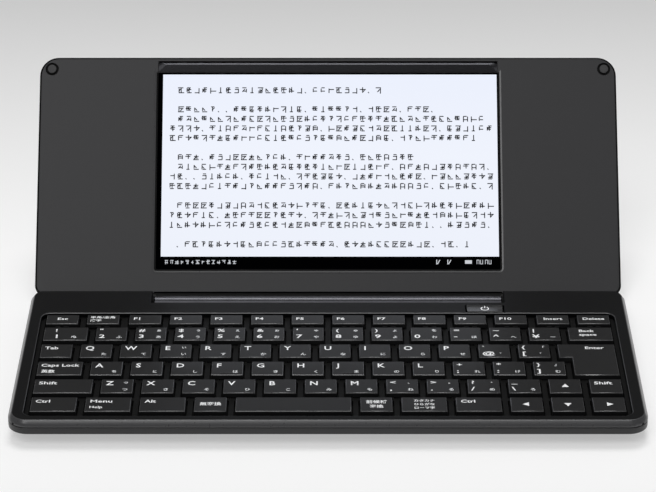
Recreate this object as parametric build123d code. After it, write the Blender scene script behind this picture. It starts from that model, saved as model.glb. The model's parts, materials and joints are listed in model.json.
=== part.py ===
"""Pocket-size electronic word processor: a keyboard base and a screen lid on a friction hinge.

Millimetres. +X runs along the keyboard to the right, +Y from the typist towards the lid, +Z up.
z = 0 is the desk under the rubber feet, x = 0 the middle of the keyboard, and y = 0 halfway between
the front of the case and the top edge of the opened lid. The model stands open, as it is used.
"""
from build123d import *
from dataclasses import dataclass
from math import atan, cos, degrees, radians, sin
import os

# ---------------------------------------------------------------- driving dimensions
# Case
side_margin = 8.9             # outermost cap tops to the side of the case
keys_to_rear = 26.6           # rear of the function keys to the rear wall
deck_height = 11.5            # deck above the desk
foot_height = 1.0             # underside above the desk
corner_radius = 8.5           # corners in plan, case and lid
wall = 1.4                    # side walls and floor
deck_thickness = 2.0
deck_bevel_in = 1.4           # bevel round the deck: inwards
deck_bevel_down = 1.9         # and downwards
seam_drop = 3.0               # top of the lower case's rim, below the deck
seam_gap = 0.3
side_drop = 5.85              # the upright side ends this far below the deck and turns under
sole_inset_front = 8.8        # how far the underside draws in
sole_inset_side = 4.0
sole_inset_rear = 0.6
sole_radius = 4.5
rear_round = 4.5              # round of the shoulders down to the rear wall
hollow_corner = 5.0           # cut corners of the hollow inside
hollow_rear = 2.5
lip_thickness = 0.8           # tongues of the deck cover inside the lower case's rim
lip_depth = 1.2
lip_root = 0.1                # into the deck's underside
lip_corner_gap = 10.0         # tongues end this far from the case's corners
fit_gap = 0.15                # play between two fixed mouldings

# Hinge
hinge_setback = 3.4           # axis in front of the rear wall
hinge_height = 4.97           # axis above the desk
lid_opening = 129.7           # degrees from closed to fully open
barrel_inset = 0.3            # each end, from the edge of the screen's opening
barrel_radius = 3.8
barrel_bore = 2.4
barrel_end_wall = 4.0
barrel_end_gap = 0.8          # to the shoulder at each end
valley_setback = 14.3         # deck edge in front of the rear wall, between the shoulders
valley_floor_setback = 8.0    # foot of the slope behind that edge
valley_floor_drop = 4.9       # below the deck
shaft_radius = 1.2
shaft_clearance = 0.05
shaft_room = 0.15             # round the shaft in the case's inner walls
knuckle_radius = 1.75
knuckle_sides = 12
knuckle_length = 8.0
knuckle_gap = 2.4             # from the shoulder's inner wall to the knuckle
leaf_thickness = 1.0
leaf_width = 8.0
leaf_bend = 1.4               # bend inside the lid's lower edge
leaf_length = 15.0            # along the lid's back
bracket_length = 19.0
bracket_width = 16.0
bracket_lift = 0.7            # arm of the bracket above the floor
nut_gap = 0.3
nut_length = 1.2              # nut on the shaft's end, outside the knuckle

# Lid
lid_thickness = 6.0
lid_gap = 0.5                 # between the closed lid's face and the deck
lid_foot = 6.0                # hinge axis to the lid's lower edge
lid_foot_radius = 4.0
lid_wall = 1.6
lid_edge_round = 2.4
lid_rim = 0.7                 # width of the cover's rim seen round the bezel
rim_step = 0.15               # the bezel stands this proud of the rim
bezel_thickness = 1.2
bezel_foot_gap = 0.5          # over the neck
neck_thickness = 4.4
neck_slope_drop = 1.2         # where the neck's outer face starts, below the cover's back
screen_width = 155.0          # opening in the bezel
screen_bottom = 17.6          # hinge axis to the opening's lower edge
screen_top_margin = 6.85      # opening's top edge to the lid's top edge
panel_recess = 0.6            # glass below the bezel's face
panel_glass = 1.2
panel_overlap = 1.0           # glass behind the bezel, each side
panel_gap = 0.05              # bezel's back to the glass
tray_thickness = 1.5
grip_margin = 1.7             # grip strip's outer edge to the lid's top edge
grip_ridge_margin = 3.3
grip_pocket = 0.9             # depth of the pocket that holds the strip
grip_base = 0.15              # strip's thickness at its low edges
grip_ridge_depth = 0.2        # ridge below the bezel's face
bumper_inset = 5.45           # from the lid's side and top edges
bumper_seat_radius = 2.95
bumper_seat_depth = 0.5
bumper_radius = 1.95
bumper_proud = 0.45
bumper_sides = 16
bumper_bed = 0.05             # rubber to the screw under it
cable_width = 12.0            # flat cable from the screen into the barrel
cable_thickness = 0.4
magnet_size = (6.0, 10.0, 2.0)

# Keyboard
key_pitch_x = 17.0
key_pitch_y = 15.5
key_gap = 3.8                 # between the tops of two caps in a row
row_gap = 3.7                 # between the tops of two rows
cap_height = 2.1
cap_proud = 0.2               # cap tops above the deck
cap_flare = 0.35              # skirt beyond the top, each side
cap_bevel = 0.25
cap_wall = 0.9
cap_travel = 1.5
wide_cap = 18.7
function_depth = 8.2
function_gap = 3.9
function_group_gap = 4.5
function_row_gap = 3.4        # behind the digit row
function_keys = 14
enter_row = 2                 # Enter covers this row, counted from 0 at the typist, and the next
first_row_front = 8.4         # front of the lowest row's tops behind the front of the case
lug_width = 2.0
lug_spacing = 3.6
lug_height = 1.0
lug_reach = 0.5
homing_bar_length = 5.6
homing_bar_width = 0.5
homing_bar_height = 0.2
homing_bar_inset = 1.2
recess_margin = 2.6           # recess wall to the outermost caps' tops, at the sides
recess_margin_rear = 2.1
recess_margin_front = 3.4
recess_radius = 4.0
web_top_drop = 2.0            # web below the deck
web_thickness = 0.8
web_clearance = 0.45          # round each cap's skirt
web_flange = 0.9              # frame under the deck, beyond the recess
web_rib = 1.2
plate_drop = 4.6              # top of the keyboard plate below the deck
plate_thickness = 0.5
plate_margin = 0.6
membrane_thickness = 0.25
dome_size = 4.2
dome_height = 2.0
dome_taper = 20
link_width = 9.4              # over both arms of a pair
link_inset = 1.0              # arm's end to the edge of the cap's top
link_bar = 1.1
link_thickness = 0.8
link_clearance = 0.2          # over the membrane

# Power button
button_width = 15.9
button_depth = 6.4
button_inset = 1.15           # its end to the line of the shoulder
button_setback = 20.2         # its middle to the rear wall
button_corner = 0.5
button_end_gap = 0.6
button_side_gap = 0.2
button_proud = 0.3
button_dish = 0.35
button_travel = 0.5
button_flange = 0.7
switch_size = (6.0, 3.6, 2.6)
switch_board = (19.2, 7.2, 1.0)

# Inside the base
board_size = (104.0, 62.0, 1.0)
board_inset = 13.5            # right edge to the side of the case
board_setback = 28.4          # rear edge to the rear wall
board_post_inset = 4.0        # stand-offs from the board's edges
card_cutout_gap = 1.2
chips = ((12.0, 8.0, 28.0, 26.0),       # from the board's left and front edges, width, depth
         (46.0, 14.0, 14.0, 14.0),
         (46.0, 34.0, 14.0, 10.0))
chip_height = 1.1
chip_headroom = 0.4           # to the keyboard plate
battery_size = (96.0, 58.0)
battery_headroom = 0.45
battery_inset = 15.5          # left edge to the side of the case
battery_setback = 36.4
battery_bevel = 0.8
rib_gap = 1.5                 # ribs round the battery and the board
rib_end_gap = 8.0             # ends of the ribs to the sides of the case
usb_mouth = (7.6, 2.6)        # outside of the socket's shell
usb_length = 5.2
usb_setback = 16.4            # middle of the socket to the rear wall
card_mouth = (24.6, 2.7)
card_length = 28.0
card_setback = 58.4
socket_shell = 0.25
socket_back = 1.0
socket_recess = 0.8           # mouth inside the case's side
socket_tongue = 0.4
mouth_clearance = 0.3
foot_width = 20.0
foot_length = 6.0
foot_seat = 0.5
foot_inset = 25.5             # middle to the side of the case
foot_front = 15.0             # middle behind the front of the case
foot_setback = 22.4           # middle of a rear foot to the rear wall
screw_radius = 1.0            # over the corners of the thread-forming shank and of its hole
screw_sides = 6
screw_head_radius = 1.9
screw_head_height = 1.0
screw_head_sides = 12
boss_radius = 2.6
screw_inset = 10.5            # outer screws to the side of the case
screw_setback = 19.9

# ---------------------------------------------------------------- places worked out from them
typing_cap = key_pitch_x - key_gap
field_width = 2 * wide_cap + 12 * key_pitch_x + key_gap
shift_cap = field_width - 13 * key_pitch_x
space_cap = field_width - 5 * (wide_cap + key_pitch_x + key_gap)
function_cap = (field_width - (function_keys - 3) * function_gap - 2 * function_group_gap) / function_keys
cap_depth = key_pitch_y - row_gap
function_row_front = first_row_front + 4 * key_pitch_y + cap_depth + function_row_gap
case_width = field_width + 2 * side_margin
case_depth = function_row_front + function_depth + keys_to_rear

lean = radians(lid_opening - 90)
hinge_from_front = case_depth - hinge_setback
lid_length = hinge_from_front                 # the shut lid ends flush with the front of the case
lid_face_z = deck_height + lid_gap
lid_drop = lid_face_z - hinge_height          # axis to the lid's inner face
open_reach = (hinge_from_front + (lid_length - lid_edge_round) * sin(lean)
              + (lid_drop + lid_thickness - lid_edge_round) * cos(lean) + lid_edge_round)
front = -open_reach / 2
rear = front + case_depth
hinge_y = front + hinge_from_front
lid_front = hinge_y - lid_length
lid_rear = hinge_y - lid_foot
lid_back_z = lid_face_z + lid_thickness
screen_top = lid_length - screen_top_margin
grip_top = lid_length - grip_margin
grip_ridge = lid_length - grip_ridge_margin
panel_z = lid_face_z + panel_recess
key_top = deck_height + cap_proud
web_top = deck_height - web_top_drop
web_bottom = web_top - web_thickness
floor_top = foot_height + wall
seam_height = deck_height - seam_drop
side_bottom = deck_height - side_drop
valley_floor_height = deck_height - valley_floor_drop
plate_height = deck_height - plate_drop
plate_bottom = plate_height - plate_thickness
board_height = plate_bottom - chip_headroom - chip_height - board_size[2]
socket_height = (floor_top + plate_bottom) / 2
membrane_top = plate_height + membrane_thickness
barrel_length = screen_width - 2 * barrel_inset
shoulder_x = barrel_length / 2 + barrel_end_gap
button_x = shoulder_x - button_inset - button_width / 2
button_y = rear - button_setback
board_left = case_width / 2 - board_inset - board_size[0]
board_front = rear - board_setback - board_size[1]
battery_x = -case_width / 2 + battery_inset + battery_size[0] / 2
battery_front = rear - battery_setback - battery_size[1]
usb_y = rear - usb_setback
card_y = rear - card_setback

recess_left_right = field_width / 2 + recess_margin
recess_front = front + first_row_front - recess_margin_front
recess_rear = front + function_row_front + function_depth + recess_margin_rear


# ---------------------------------------------------------------- small helpers
def slab(width, y0, y1, radius, z0, z1, x=0.0):
    """Plate with rounded corners from y0 to y1 and z0 to z1."""
    outline = RectangleRounded(width, y1 - y0, radius) if radius else Rectangle(width, y1 - y0)
    return extrude(Pos(x, (y0 + y1) / 2, z0) * outline, z1 - z0)


def block(x0, x1, y0, y1, z0, z1):
    """Box between two corners."""
    return Pos((x0 + x1) / 2, (y0 + y1) / 2, (z0 + z1) / 2) * Box(x1 - x0, y1 - y0, z1 - z0)


def along_x(points, x0, x1):
    """Prism with its (y, z) profile drawn by points and its length from x0 to x1."""
    profile = Face(Wire.make_polygon([Vector(x0, y, z) for y, z in points]))
    return Solid.extrude(profile, Vector(x1 - x0, 0, 0))


def rod(radius, x0, x1, y, z):
    """Cylinder along X."""
    return Pos((x0 + x1) / 2, y, z) * Rot(0, 90, 0) * Cylinder(radius, x1 - x0)


def post(radius, x, y, z0, z1):
    """Cylinder along Z."""
    return Pos(x, y, (z0 + z1) / 2) * Cylinder(radius, z1 - z0)


def faceted_post(radius, x, y, z0, z1, sides=screw_sides):
    """Many-sided post along Z, such as a thread-forming shank, its hole and its boss."""
    return extrude(Pos(x, y, z0) * RegularPolygon(radius, sides), z1 - z0)


def faceted_rod(radius, x0, x1, sides):
    """Many-sided rod on the hinge axis."""
    return extrude(Pos(x0, hinge_y, hinge_height) * Rot(0, 90, 0) * RegularPolygon(radius, sides), x1 - x0)


def cut_corners(width, depth, corner):
    """Rectangle with its corners cut off."""
    plate = Rectangle(width, depth)
    return chamfer(plate.vertices(), corner)


def opened(shape):
    """Swing a piece drawn with the lid closed into the open lid."""
    return shape.rotate(Axis((0, hinge_y, hinge_height), (-1, 0, 0)), lid_opening)


def lid_y(from_axis):
    """Place along the closed lid, by its distance from the hinge axis."""
    return hinge_y - from_axis


# ---------------------------------------------------------------- keyboard layout
@dataclass(frozen=True)
class Cap:
    """One key cap: name, node, middle of its top in x, front edge of its top, and its size."""
    name: str
    node: str
    x: float
    y: float
    width: float
    depth: float


def row_of_caps(row_front, depth, keys, gaps):
    """Lay caps from the left edge of the field; keys holds (name, node, width)."""
    left = -field_width / 2
    caps = []
    for (name, node, width), gap in zip(keys, gaps):
        caps.append(Cap(name, node, left + width / 2, row_front, width, depth))
        left += width + gap
    return caps


def typing_keys(names, node_left, node_right, split):
    """One-unit keys of a row, in a left and a right group."""
    return [(n, node_left if i < split else node_right, typing_cap) for i, n in enumerate(names)]


def own(name, width):
    """A key with a node of its own."""
    return (name, "key_" + name, width)


def keyboard():
    """All caps but Enter, row by row from the typist."""
    rows = [
        [own("ctrl_left", wide_cap), own("menu", wide_cap), own("alt", wide_cap),
         own("muhenkan", typing_cap), own("space", space_cap), own("henkan", typing_cap),
         own("kana", wide_cap), own("ctrl_right", wide_cap), own("left", typing_cap),
         own("down", typing_cap), own("right", typing_cap)],
        [own("shift_left", shift_cap)]
        + typing_keys("z x c v b n m comma period slash backslash".split(), "keys_z_to_b", "keys_n_to_backslash", 5)
        + [own("up", typing_cap), own("shift_right", typing_cap)],
        [own("caps", wide_cap)]
        + typing_keys("a s d f g h j k l semicolon colon bracket_close".split(), "keys_a_to_g", "keys_h_to_bracket", 5),
        [own("tab", typing_cap)]
        + typing_keys("q w e r t y u i o p at bracket_open".split(), "keys_q_to_t", "keys_y_to_bracket", 5),
        [own("one", wide_cap)]
        + typing_keys("2 3 4 5 6 7 8 9 0 minus caret yen".split(), "keys_2_to_6", "keys_7_to_yen", 5)
        + [own("backspace", wide_cap)],
    ]
    caps = []
    for i, keys in enumerate(rows):
        row_front = front + first_row_front + i * key_pitch_y
        caps += row_of_caps(row_front, cap_depth, keys, [key_gap] * len(keys))
    names = [own("esc", function_cap), own("hankaku", function_cap)]
    names += [(f"f{i}", "keys_function", function_cap) for i in range(1, 11)]
    names += [own("insert", function_cap), own("delete", function_cap)]
    gaps = [function_gap] * len(names)
    gaps[1] = gaps[-3] = function_group_gap
    caps += row_of_caps(front + function_row_front, function_depth, names, gaps)
    return caps


def enter_outline(grow=0.0):
    """Stepped Enter key over two rows: one-row tab to the left of a two-row body."""
    right = field_width / 2 + grow
    body_left = right - grow - wide_cap - grow
    tab_left = right - grow - shift_cap - grow
    y0 = front + first_row_front + enter_row * key_pitch_y - grow
    y1 = y0 + grow + key_pitch_y - grow
    y2 = y0 + grow + key_pitch_y + cap_depth + grow
    return make_face(Polyline((right, y0), (right, y2), (tab_left, y2), (tab_left, y1), (body_left, y1),
                              (body_left, y0), close=True))


caps = keyboard()
enter_x = field_width / 2 - wide_cap / 2
enter_y = front + first_row_front + enter_row * key_pitch_y + (key_pitch_y + cap_depth) / 2
cap_middles = [(cap.x, cap.y + cap.depth / 2) for cap in caps] + [(enter_x, enter_y)]
typing_middles = [(cap.x, cap.y + cap.depth / 2) for cap in caps if cap.depth == cap_depth] + [(enter_x, enter_y)]


# ---------------------------------------------------------------- key caps
def cap_shell(outline):
    """Hollow cap over its outline: sloping skirt, bevelled top, hollow underneath."""
    base = key_top - cap_height
    skirt_height = cap_height - cap_bevel
    slope = degrees(atan(cap_flare / skirt_height))
    body = extrude(Pos(0, 0, base) * outline(cap_flare), skirt_height, taper=slope)
    body += extrude(Pos(0, 0, base + skirt_height) * outline(0), cap_bevel, taper=45)
    return body - extrude(Pos(0, 0, base) * outline(cap_flare - cap_wall), cap_height - cap_wall)


def cap_piece(cap):
    """One rectangular cap with its lugs or homing bar."""
    def outline(grow):
        return Rectangle(cap.width + 2 * grow, cap.depth + 2 * grow)

    piece = Pos(cap.x, cap.y + cap.depth / 2, 0) * cap_shell(outline)
    if cap.depth == function_depth:
        skirt = cap.y - cap_flare
        base = key_top - cap_height
        for side in (-1, 1):
            x = cap.x + side * lug_spacing / 2
            piece += block(x - lug_width / 2, x + lug_width / 2, skirt - lug_reach, skirt + cap_wall / 2,
                           base, base + lug_height)
    if cap.name in ("f", "j"):
        y = cap.y + homing_bar_inset
        piece += block(cap.x - homing_bar_length / 2, cap.x + homing_bar_length / 2,
                       y, y + homing_bar_width, key_top - cap_bevel, key_top + homing_bar_height)
    return piece


def key_nodes():
    """Caps gathered by node; each cap stays a solid of its own."""
    nodes = {}
    for cap in caps:
        nodes.setdefault(cap.node, []).append(cap_piece(cap))
    nodes["key_enter"] = [cap_shell(enter_outline)]
    return {node: Compound([p.solid() for p in pieces]) for node, pieces in nodes.items()}


# ---------------------------------------------------------------- keyboard module
def key_frame():
    """Web between the keys: a plate with an opening round each cap, ribbed between the rows."""
    half = recess_left_right + web_flange
    frame = block(-half, half, recess_front - web_flange, recess_rear + web_flange, web_bottom, web_top)
    grow = cap_flare + web_clearance
    for i in range(5):
        y = front + first_row_front + i * key_pitch_y + cap_depth + grow
        end = field_width / 2 - shift_cap - key_gap if i == enter_row else field_width / 2
        frame += block(-field_width / 2, end, y, y + web_rib, membrane_top, web_bottom)
    openings = []
    for cap in caps:
        lug_room = lug_reach if cap.depth == function_depth else 0.0
        openings.append(block(cap.x - cap.width / 2 - grow, cap.x + cap.width / 2 + grow,
                              cap.y - grow - lug_room, cap.y + cap.depth + grow, web_bottom, web_top))
    openings.append(extrude(Pos(0, 0, web_bottom) * enter_outline(grow), web_thickness))
    return frame - openings


def keyboard_sheet(margin, z0, z1):
    """Flat sheet under the whole keyboard."""
    half = recess_left_right - margin
    return block(-half, half, recess_front + margin, recess_rear - margin, z0, z1)


def keyboard_plate():
    """Steel plate under the membrane, held between the case's ribs and the key frame."""
    return keyboard_sheet(plate_margin, plate_bottom, plate_height)


def key_membrane():
    """Contact sheet and a rubber dome under each cap, drawn pressed so that the caps clear them."""
    sheet = keyboard_sheet(2 * plate_margin, plate_height, membrane_top)
    dome = extrude(Pos(0, 0, membrane_top) * Rectangle(dome_size, dome_size), dome_height, taper=dome_taper)
    return Compound([sheet.solid()] + [(Pos(x, y, 0) * dome).solid() for x, y in cap_middles])


def key_links():
    """Two arms beside the dome of each typing key, drawn folded flat, that keep its cap level."""
    bottom = membrane_top + link_clearance
    reach = cap_depth / 2 - link_inset
    arms = []
    for x, y in typing_middles:
        for side in (-1, 1):
            outer = x + side * link_width / 2
            inner = outer - side * link_bar
            arms.append(block(min(outer, inner), max(outer, inner), y - reach, y + reach,
                              bottom, bottom + link_thickness))
    return Compound([arm.solid() for arm in arms])


# ---------------------------------------------------------------- case
def case_form():
    """Outer form of the base, from its underside to the deck."""
    sole_y0, sole_y1 = front + sole_inset_front, rear - sole_inset_rear
    sole = Pos(0, (sole_y0 + sole_y1) / 2, foot_height) * RectangleRounded(
        case_width - 2 * sole_inset_side, sole_y1 - sole_y0, sole_radius)
    plan = RectangleRounded(case_width, case_depth, corner_radius)
    middle_y = (front + rear) / 2
    bevel_bottom = deck_height - deck_bevel_down
    form = loft([sole.face(), (Pos(0, middle_y, side_bottom) * plan).face()])
    form += extrude(Pos(0, middle_y, side_bottom) * plan, bevel_bottom - side_bottom)
    form += extrude(Pos(0, middle_y, bevel_bottom) * plan, deck_bevel_down,
                    taper=degrees(atan(deck_bevel_in / deck_bevel_down)))
    round_y, round_z = rear - rear_round, deck_height - rear_round
    corner = block(-case_width, case_width, round_y, rear + 1, round_z, deck_height + 1)
    return form - (corner - rod(rear_round, -case_width, case_width, round_y, round_z))


def case_hollow():
    """Room inside the base: walls of even thickness with cut corners."""
    y0, y1 = front + wall, rear - wall
    sole_y0, sole_y1 = y0 + sole_inset_front, y1 - sole_inset_rear
    width = case_width - 2 * wall
    sole = Pos(0, (sole_y0 + sole_y1) / 2, floor_top) * cut_corners(
        width - 2 * sole_inset_side, sole_y1 - sole_y0, hollow_corner)
    plan = Pos(0, (y0 + y1) / 2, side_bottom) * cut_corners(width, y1 - y0, hollow_corner)
    top = deck_height - deck_thickness
    room = loft([sole.face(), plan.face()]) + extrude(plan, top - side_bottom)
    rear_cut = along_x([(y1 - hollow_rear, top), (y1 + 1, top - hollow_rear - 1), (y1 + 1, top)],
                       -case_width, case_width)
    return room - rear_cut


def valley(grow):
    """Room between the shoulders for the hinge: a slope down from the deck, then open to the desk."""
    deck_edge = rear - valley_setback - grow
    foot_y = rear - valley_floor_setback - grow
    back = rear + 10
    points = [(deck_edge, deck_height + 10), (deck_edge, deck_height - grow / 2),
              (foot_y, valley_floor_height - grow), (foot_y, -10), (back, -10), (back, deck_height + 10)]
    return along_x(points, -shoulder_x - grow, shoulder_x + grow)


def shelled_base():
    """Hollow base before it is parted at the seam."""
    return (case_form() - valley(0)) - (case_hollow() - valley(wall))


def slope_zone(grow):
    """The valley's slope below the seam, which belongs to the deck cover."""
    return block(-shoulder_x - grow, shoulder_x + grow, rear - valley_setback - 2 * wall,
                 rear - valley_floor_setback + grow, valley_floor_height - wall - grow, seam_height + seam_gap)


def screw_places():
    """Case screws behind the keyboard."""
    spread = (case_width / 2 - screw_inset, barrel_length / 4)
    return [(side * x, rear - screw_setback) for side in (-1, 1) for x in spread]


def socket_room(mouth, y):
    """Cut for a socket's mouth through the right wall."""
    half_y = mouth[0] / 2 + mouth_clearance
    half_z = mouth[1] / 2 + mouth_clearance
    return block(case_width / 2 - 3 * wall - sole_inset_side, case_width / 2 + 1, y - half_y, y + half_y,
                 socket_height - half_z, socket_height + half_z)


def foot_places():
    """Middles of the four feet."""
    x = case_width / 2 - foot_inset
    return [(side * x, y) for side in (-1, 1) for y in (front + foot_front, rear - foot_setback)]


def foot(x, y, grow):
    """One rubber pad from the desk up into its seat."""
    half_x, half_y = foot_width / 2 + grow, foot_length / 2 + grow
    return block(x - half_x, x + half_x, y - half_y, y + half_y, 0, foot_height + foot_seat)


def case_ribs():
    """Ribs under the keyboard plate: before and behind the board, and between it and the battery."""
    bottom, top = foot_height + wall / 2, plate_bottom
    half = case_width / 2 - rib_end_gap
    front_y = min(board_front, battery_front) - rib_gap
    rear_y = rear - board_setback + rib_gap
    ribs = [block(-half, half, y - wall / 2, y + wall / 2, bottom, top) for y in (front_y, rear_y)]
    middle = (board_left + battery_x + battery_size[0] / 2) / 2
    ribs.append(block(middle - wall / 2, middle + wall / 2, front_y, rear_y, bottom, top))
    return ribs


def lower_case(base):
    """Tray with bosses for the screws, ribs under the keyboard plate, seats for the feet."""
    tray = (base & block(-case_width, case_width, front - 1, rear + 10, -1, seam_height)) - slope_zone(fit_gap)
    tray += case_ribs()
    for x, y in screw_places():
        tray += faceted_post(boss_radius, x, y, foot_height + wall / 2, seam_height - lip_depth - fit_gap)
        tray -= faceted_post(screw_radius + fit_gap, x, y, 0, deck_height)
        tray -= faceted_post(screw_head_radius + fit_gap, x, y, 0, foot_height + screw_head_height,
                             screw_head_sides)
    for x, y in foot_places():
        tray -= foot(x, y, fit_gap)
    tray -= socket_room(usb_mouth, usb_y)
    tray -= socket_room(card_mouth, card_y)
    for side in (-1, 1):
        x0, x1 = sorted((side * (shoulder_x - 1), side * (shoulder_x + wall + 1)))
        tray -= faceted_rod(shaft_radius + shaft_room, x0, x1, knuckle_sides)
    return tray


def tongues():
    """Straight tongues round the deck cover that drop inside the lower case's rim."""
    z0, z1 = seam_height - lip_depth, deck_height - deck_thickness + lip_root
    side = case_width / 2 - wall - fit_gap
    front_y = front + wall + fit_gap
    half = case_width / 2 - lip_corner_gap
    rear_y = rear - valley_setback - lip_corner_gap
    bars = [block(-half, half, front_y, front_y + lip_thickness, z0, z1)]
    for x in (-side, side - lip_thickness):
        bars.append(block(x, x + lip_thickness, front + lip_corner_gap, rear_y, z0, z1))
    return bars


def deck_cover(base):
    """Deck with the keyboard recess, the shoulders, the hinge valley and tongues into the lower case."""
    cover = base & block(-case_width, case_width, front - 1, rear + 10, seam_height + seam_gap, deck_height + 1)
    cover += base & slope_zone(0)
    cover += tongues()
    cover -= slab(2 * recess_left_right, recess_front, recess_rear, recess_radius, web_top - 1, deck_height + 1)
    half_x = button_width / 2 + button_end_gap
    half_y = button_depth / 2 + button_side_gap
    cover -= block(button_x - half_x, button_x + half_x, button_y - half_y, button_y + half_y,
                   web_bottom, deck_height + 1)
    for x, y in screw_places():
        boss = faceted_post(boss_radius, x, y, seam_height - lip_depth, deck_height - deck_thickness / 2)
        cover += boss - faceted_post(screw_radius, x, y, 0, web_bottom)
    return cover


def rubber_feet():
    """Four pads seated in the underside."""
    return Compound([foot(x, y, 0).solid() for x, y in foot_places()])


def case_screws():
    """Flat-headed screws from below."""
    head_bottom = foot_height + fit_gap
    head_top = foot_height + screw_head_height
    screws = []
    for x, y in screw_places():
        screw = faceted_post(screw_head_radius, x, y, head_bottom, head_top, screw_head_sides)
        screw += faceted_post(screw_radius, x, y, head_top, web_bottom)
        screws.append(screw.solid())
    return Compound(screws)


# ---------------------------------------------------------------- power button and inside parts
def power_button():
    """Dished key with a flange under the deck."""
    top = deck_height + button_proud
    flange_z = deck_height - deck_thickness - fit_gap
    y0, y1 = button_y - button_depth / 2, button_y + button_depth / 2
    cap = slab(button_width, y0, y1, button_corner, flange_z, top, button_x)
    dish_radius = ((button_depth / 2) ** 2 + button_dish ** 2) / (2 * button_dish)
    cap -= rod(dish_radius, button_x - button_width, button_x + button_width, button_y,
               top + dish_radius - button_dish)
    half_x = button_width / 2 + button_end_gap + button_flange
    return cap + block(button_x - half_x, button_x + half_x, y0, y1, flange_z - button_flange, flange_z)


def power_switch():
    """Push switch under the button, on a small board of its own with a leg down to the floor."""
    top = deck_height - deck_thickness - button_flange - button_travel - 2 * fit_gap
    board_top = top - switch_size[2]
    board_bottom = board_top - switch_board[2]
    switch = None
    for width, depth, z0, z1 in ((*switch_size[:2], board_top, top), (*switch_board[:2], board_bottom, board_top),
                                 (*switch_size[:2], floor_top, board_bottom)):
        part = block(button_x - width / 2, button_x + width / 2, button_y - depth / 2, button_y + depth / 2, z0, z1)
        switch = part if switch is None else switch + part
    return switch


def main_board():
    """Board with its chips, cut out round the card socket, on four stand-offs."""
    width, depth, thickness = board_size
    top = board_height + thickness
    x1, y1 = board_left + width, board_front + depth
    board = block(board_left, x1, board_front, y1, board_height, top)
    for chip_x, chip_y, chip_width, chip_depth in chips:
        x, y = board_left + chip_x, board_front + chip_y
        board += block(x, x + chip_width, y, y + chip_depth, top, top + chip_height)
    half = card_mouth[0] / 2 + card_cutout_gap
    cutout = case_width / 2 - card_length - sole_inset_side - card_cutout_gap
    board -= block(cutout, case_width, card_y - half, card_y + half, 0, deck_height)
    for x in (board_left + board_post_inset, x1 - board_post_inset):
        for y in (board_front + board_post_inset, y1 - board_post_inset):
            board += block(x - boss_radius, x + boss_radius, y - boss_radius, y + boss_radius,
                           floor_top, board_height)
    return board


def battery_pack():
    """Flat pouch cell with soft upper edges."""
    width, depth = battery_size
    pack = slab(width, battery_front, battery_front + depth, 0, floor_top + fit_gap,
                plate_bottom - battery_headroom, battery_x)
    return chamfer(pack.faces().sort_by(Axis.Z)[-1].edges(), battery_bevel)


def side_socket(mouth, length, y):
    """Folded metal shell, open to the right, with a tongue inside and a foot on the floor."""
    half_y, half_z = mouth[0] / 2, mouth[1] / 2
    side_slope = sole_inset_side / (side_bottom - foot_height)
    mouth_x = case_width / 2 - side_slope * (side_bottom - socket_height) - socket_recess
    back_x = mouth_x - length
    z0, z1 = socket_height - half_z, socket_height + half_z
    shell = block(back_x, mouth_x, y - half_y, y + half_y, z0, z1)
    shell -= block(back_x + socket_back, mouth_x + 1, y - half_y + socket_shell, y + half_y - socket_shell,
                   z0 + socket_shell, z1 - socket_shell)
    tongue = block(back_x, mouth_x - length / 3, y - half_y / 2, y + half_y / 2,
                   socket_height, socket_height + socket_tongue)
    foot_part = block(back_x, back_x + length / 4, y - half_y, y + half_y, floor_top, z0)
    return shell + tongue + foot_part


# ---------------------------------------------------------------- hinge
def hinge_bracket(side):
    """Steel knuckle in the shoulder with an arm to its foot on the lower case's floor."""
    inner = shoulder_x + wall + knuckle_gap
    x0, x1 = sorted((side * inner, side * (inner + knuckle_length)))
    f0, f1 = sorted((side * inner, side * (inner + bracket_width)))
    arm_bottom = floor_top + bracket_lift
    arm_top = arm_bottom + leaf_thickness
    foot_rear = hinge_y - bracket_length / 3
    bracket = faceted_rod(knuckle_radius, x0, x1, knuckle_sides)
    bracket += block(x0, x1, hinge_y - bracket_length, hinge_y, arm_bottom, arm_top)
    bracket += block(f0, f1, hinge_y - bracket_length, foot_rear, floor_top, arm_top)
    return bracket - rod(shaft_radius + shaft_clearance, x0 - 1, x1 + 1, hinge_y, hinge_height)


def leaf_path(half):
    """Closed-lid profile, half thick each way, from the axis up the neck and along the lid's back."""
    bend_y, bend_z = lid_rear - leaf_bend, lid_back_z - lid_wall - leaf_thickness / 2
    end_y = bend_y - leaf_length
    rise_y, rise_z = bend_y - hinge_y, bend_z - hinge_height
    length = (rise_y ** 2 + rise_z ** 2) ** 0.5
    off_y, off_z = half * rise_z / length, -half * rise_y / length
    return [(hinge_y + off_y, hinge_height + off_z), (bend_y + off_y, bend_z + half), (end_y, bend_z + half),
            (end_y, bend_z - half), (bend_y - off_y, bend_z - half), (hinge_y - off_y, hinge_height - off_z)]


def hinge_leaf(side):
    """Shaft that turns in the bracket, with the leaf that carries the lid."""
    outer = shoulder_x + wall + knuckle_gap + knuckle_length + nut_gap
    shaft_start = barrel_length / 2 - barrel_end_wall - leaf_width
    x0, x1 = sorted((side * shaft_start, side * outer))
    l0, l1 = sorted((side * shaft_start, side * (shaft_start + leaf_width)))
    shaft = rod(shaft_radius, x0, x1, hinge_y, hinge_height)
    shaft += faceted_rod(knuckle_radius, *sorted((side * outer, side * (outer + nut_length))), screw_sides)
    return opened((shaft + along_x(leaf_path(leaf_thickness / 2), l0, l1)).solid())


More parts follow.
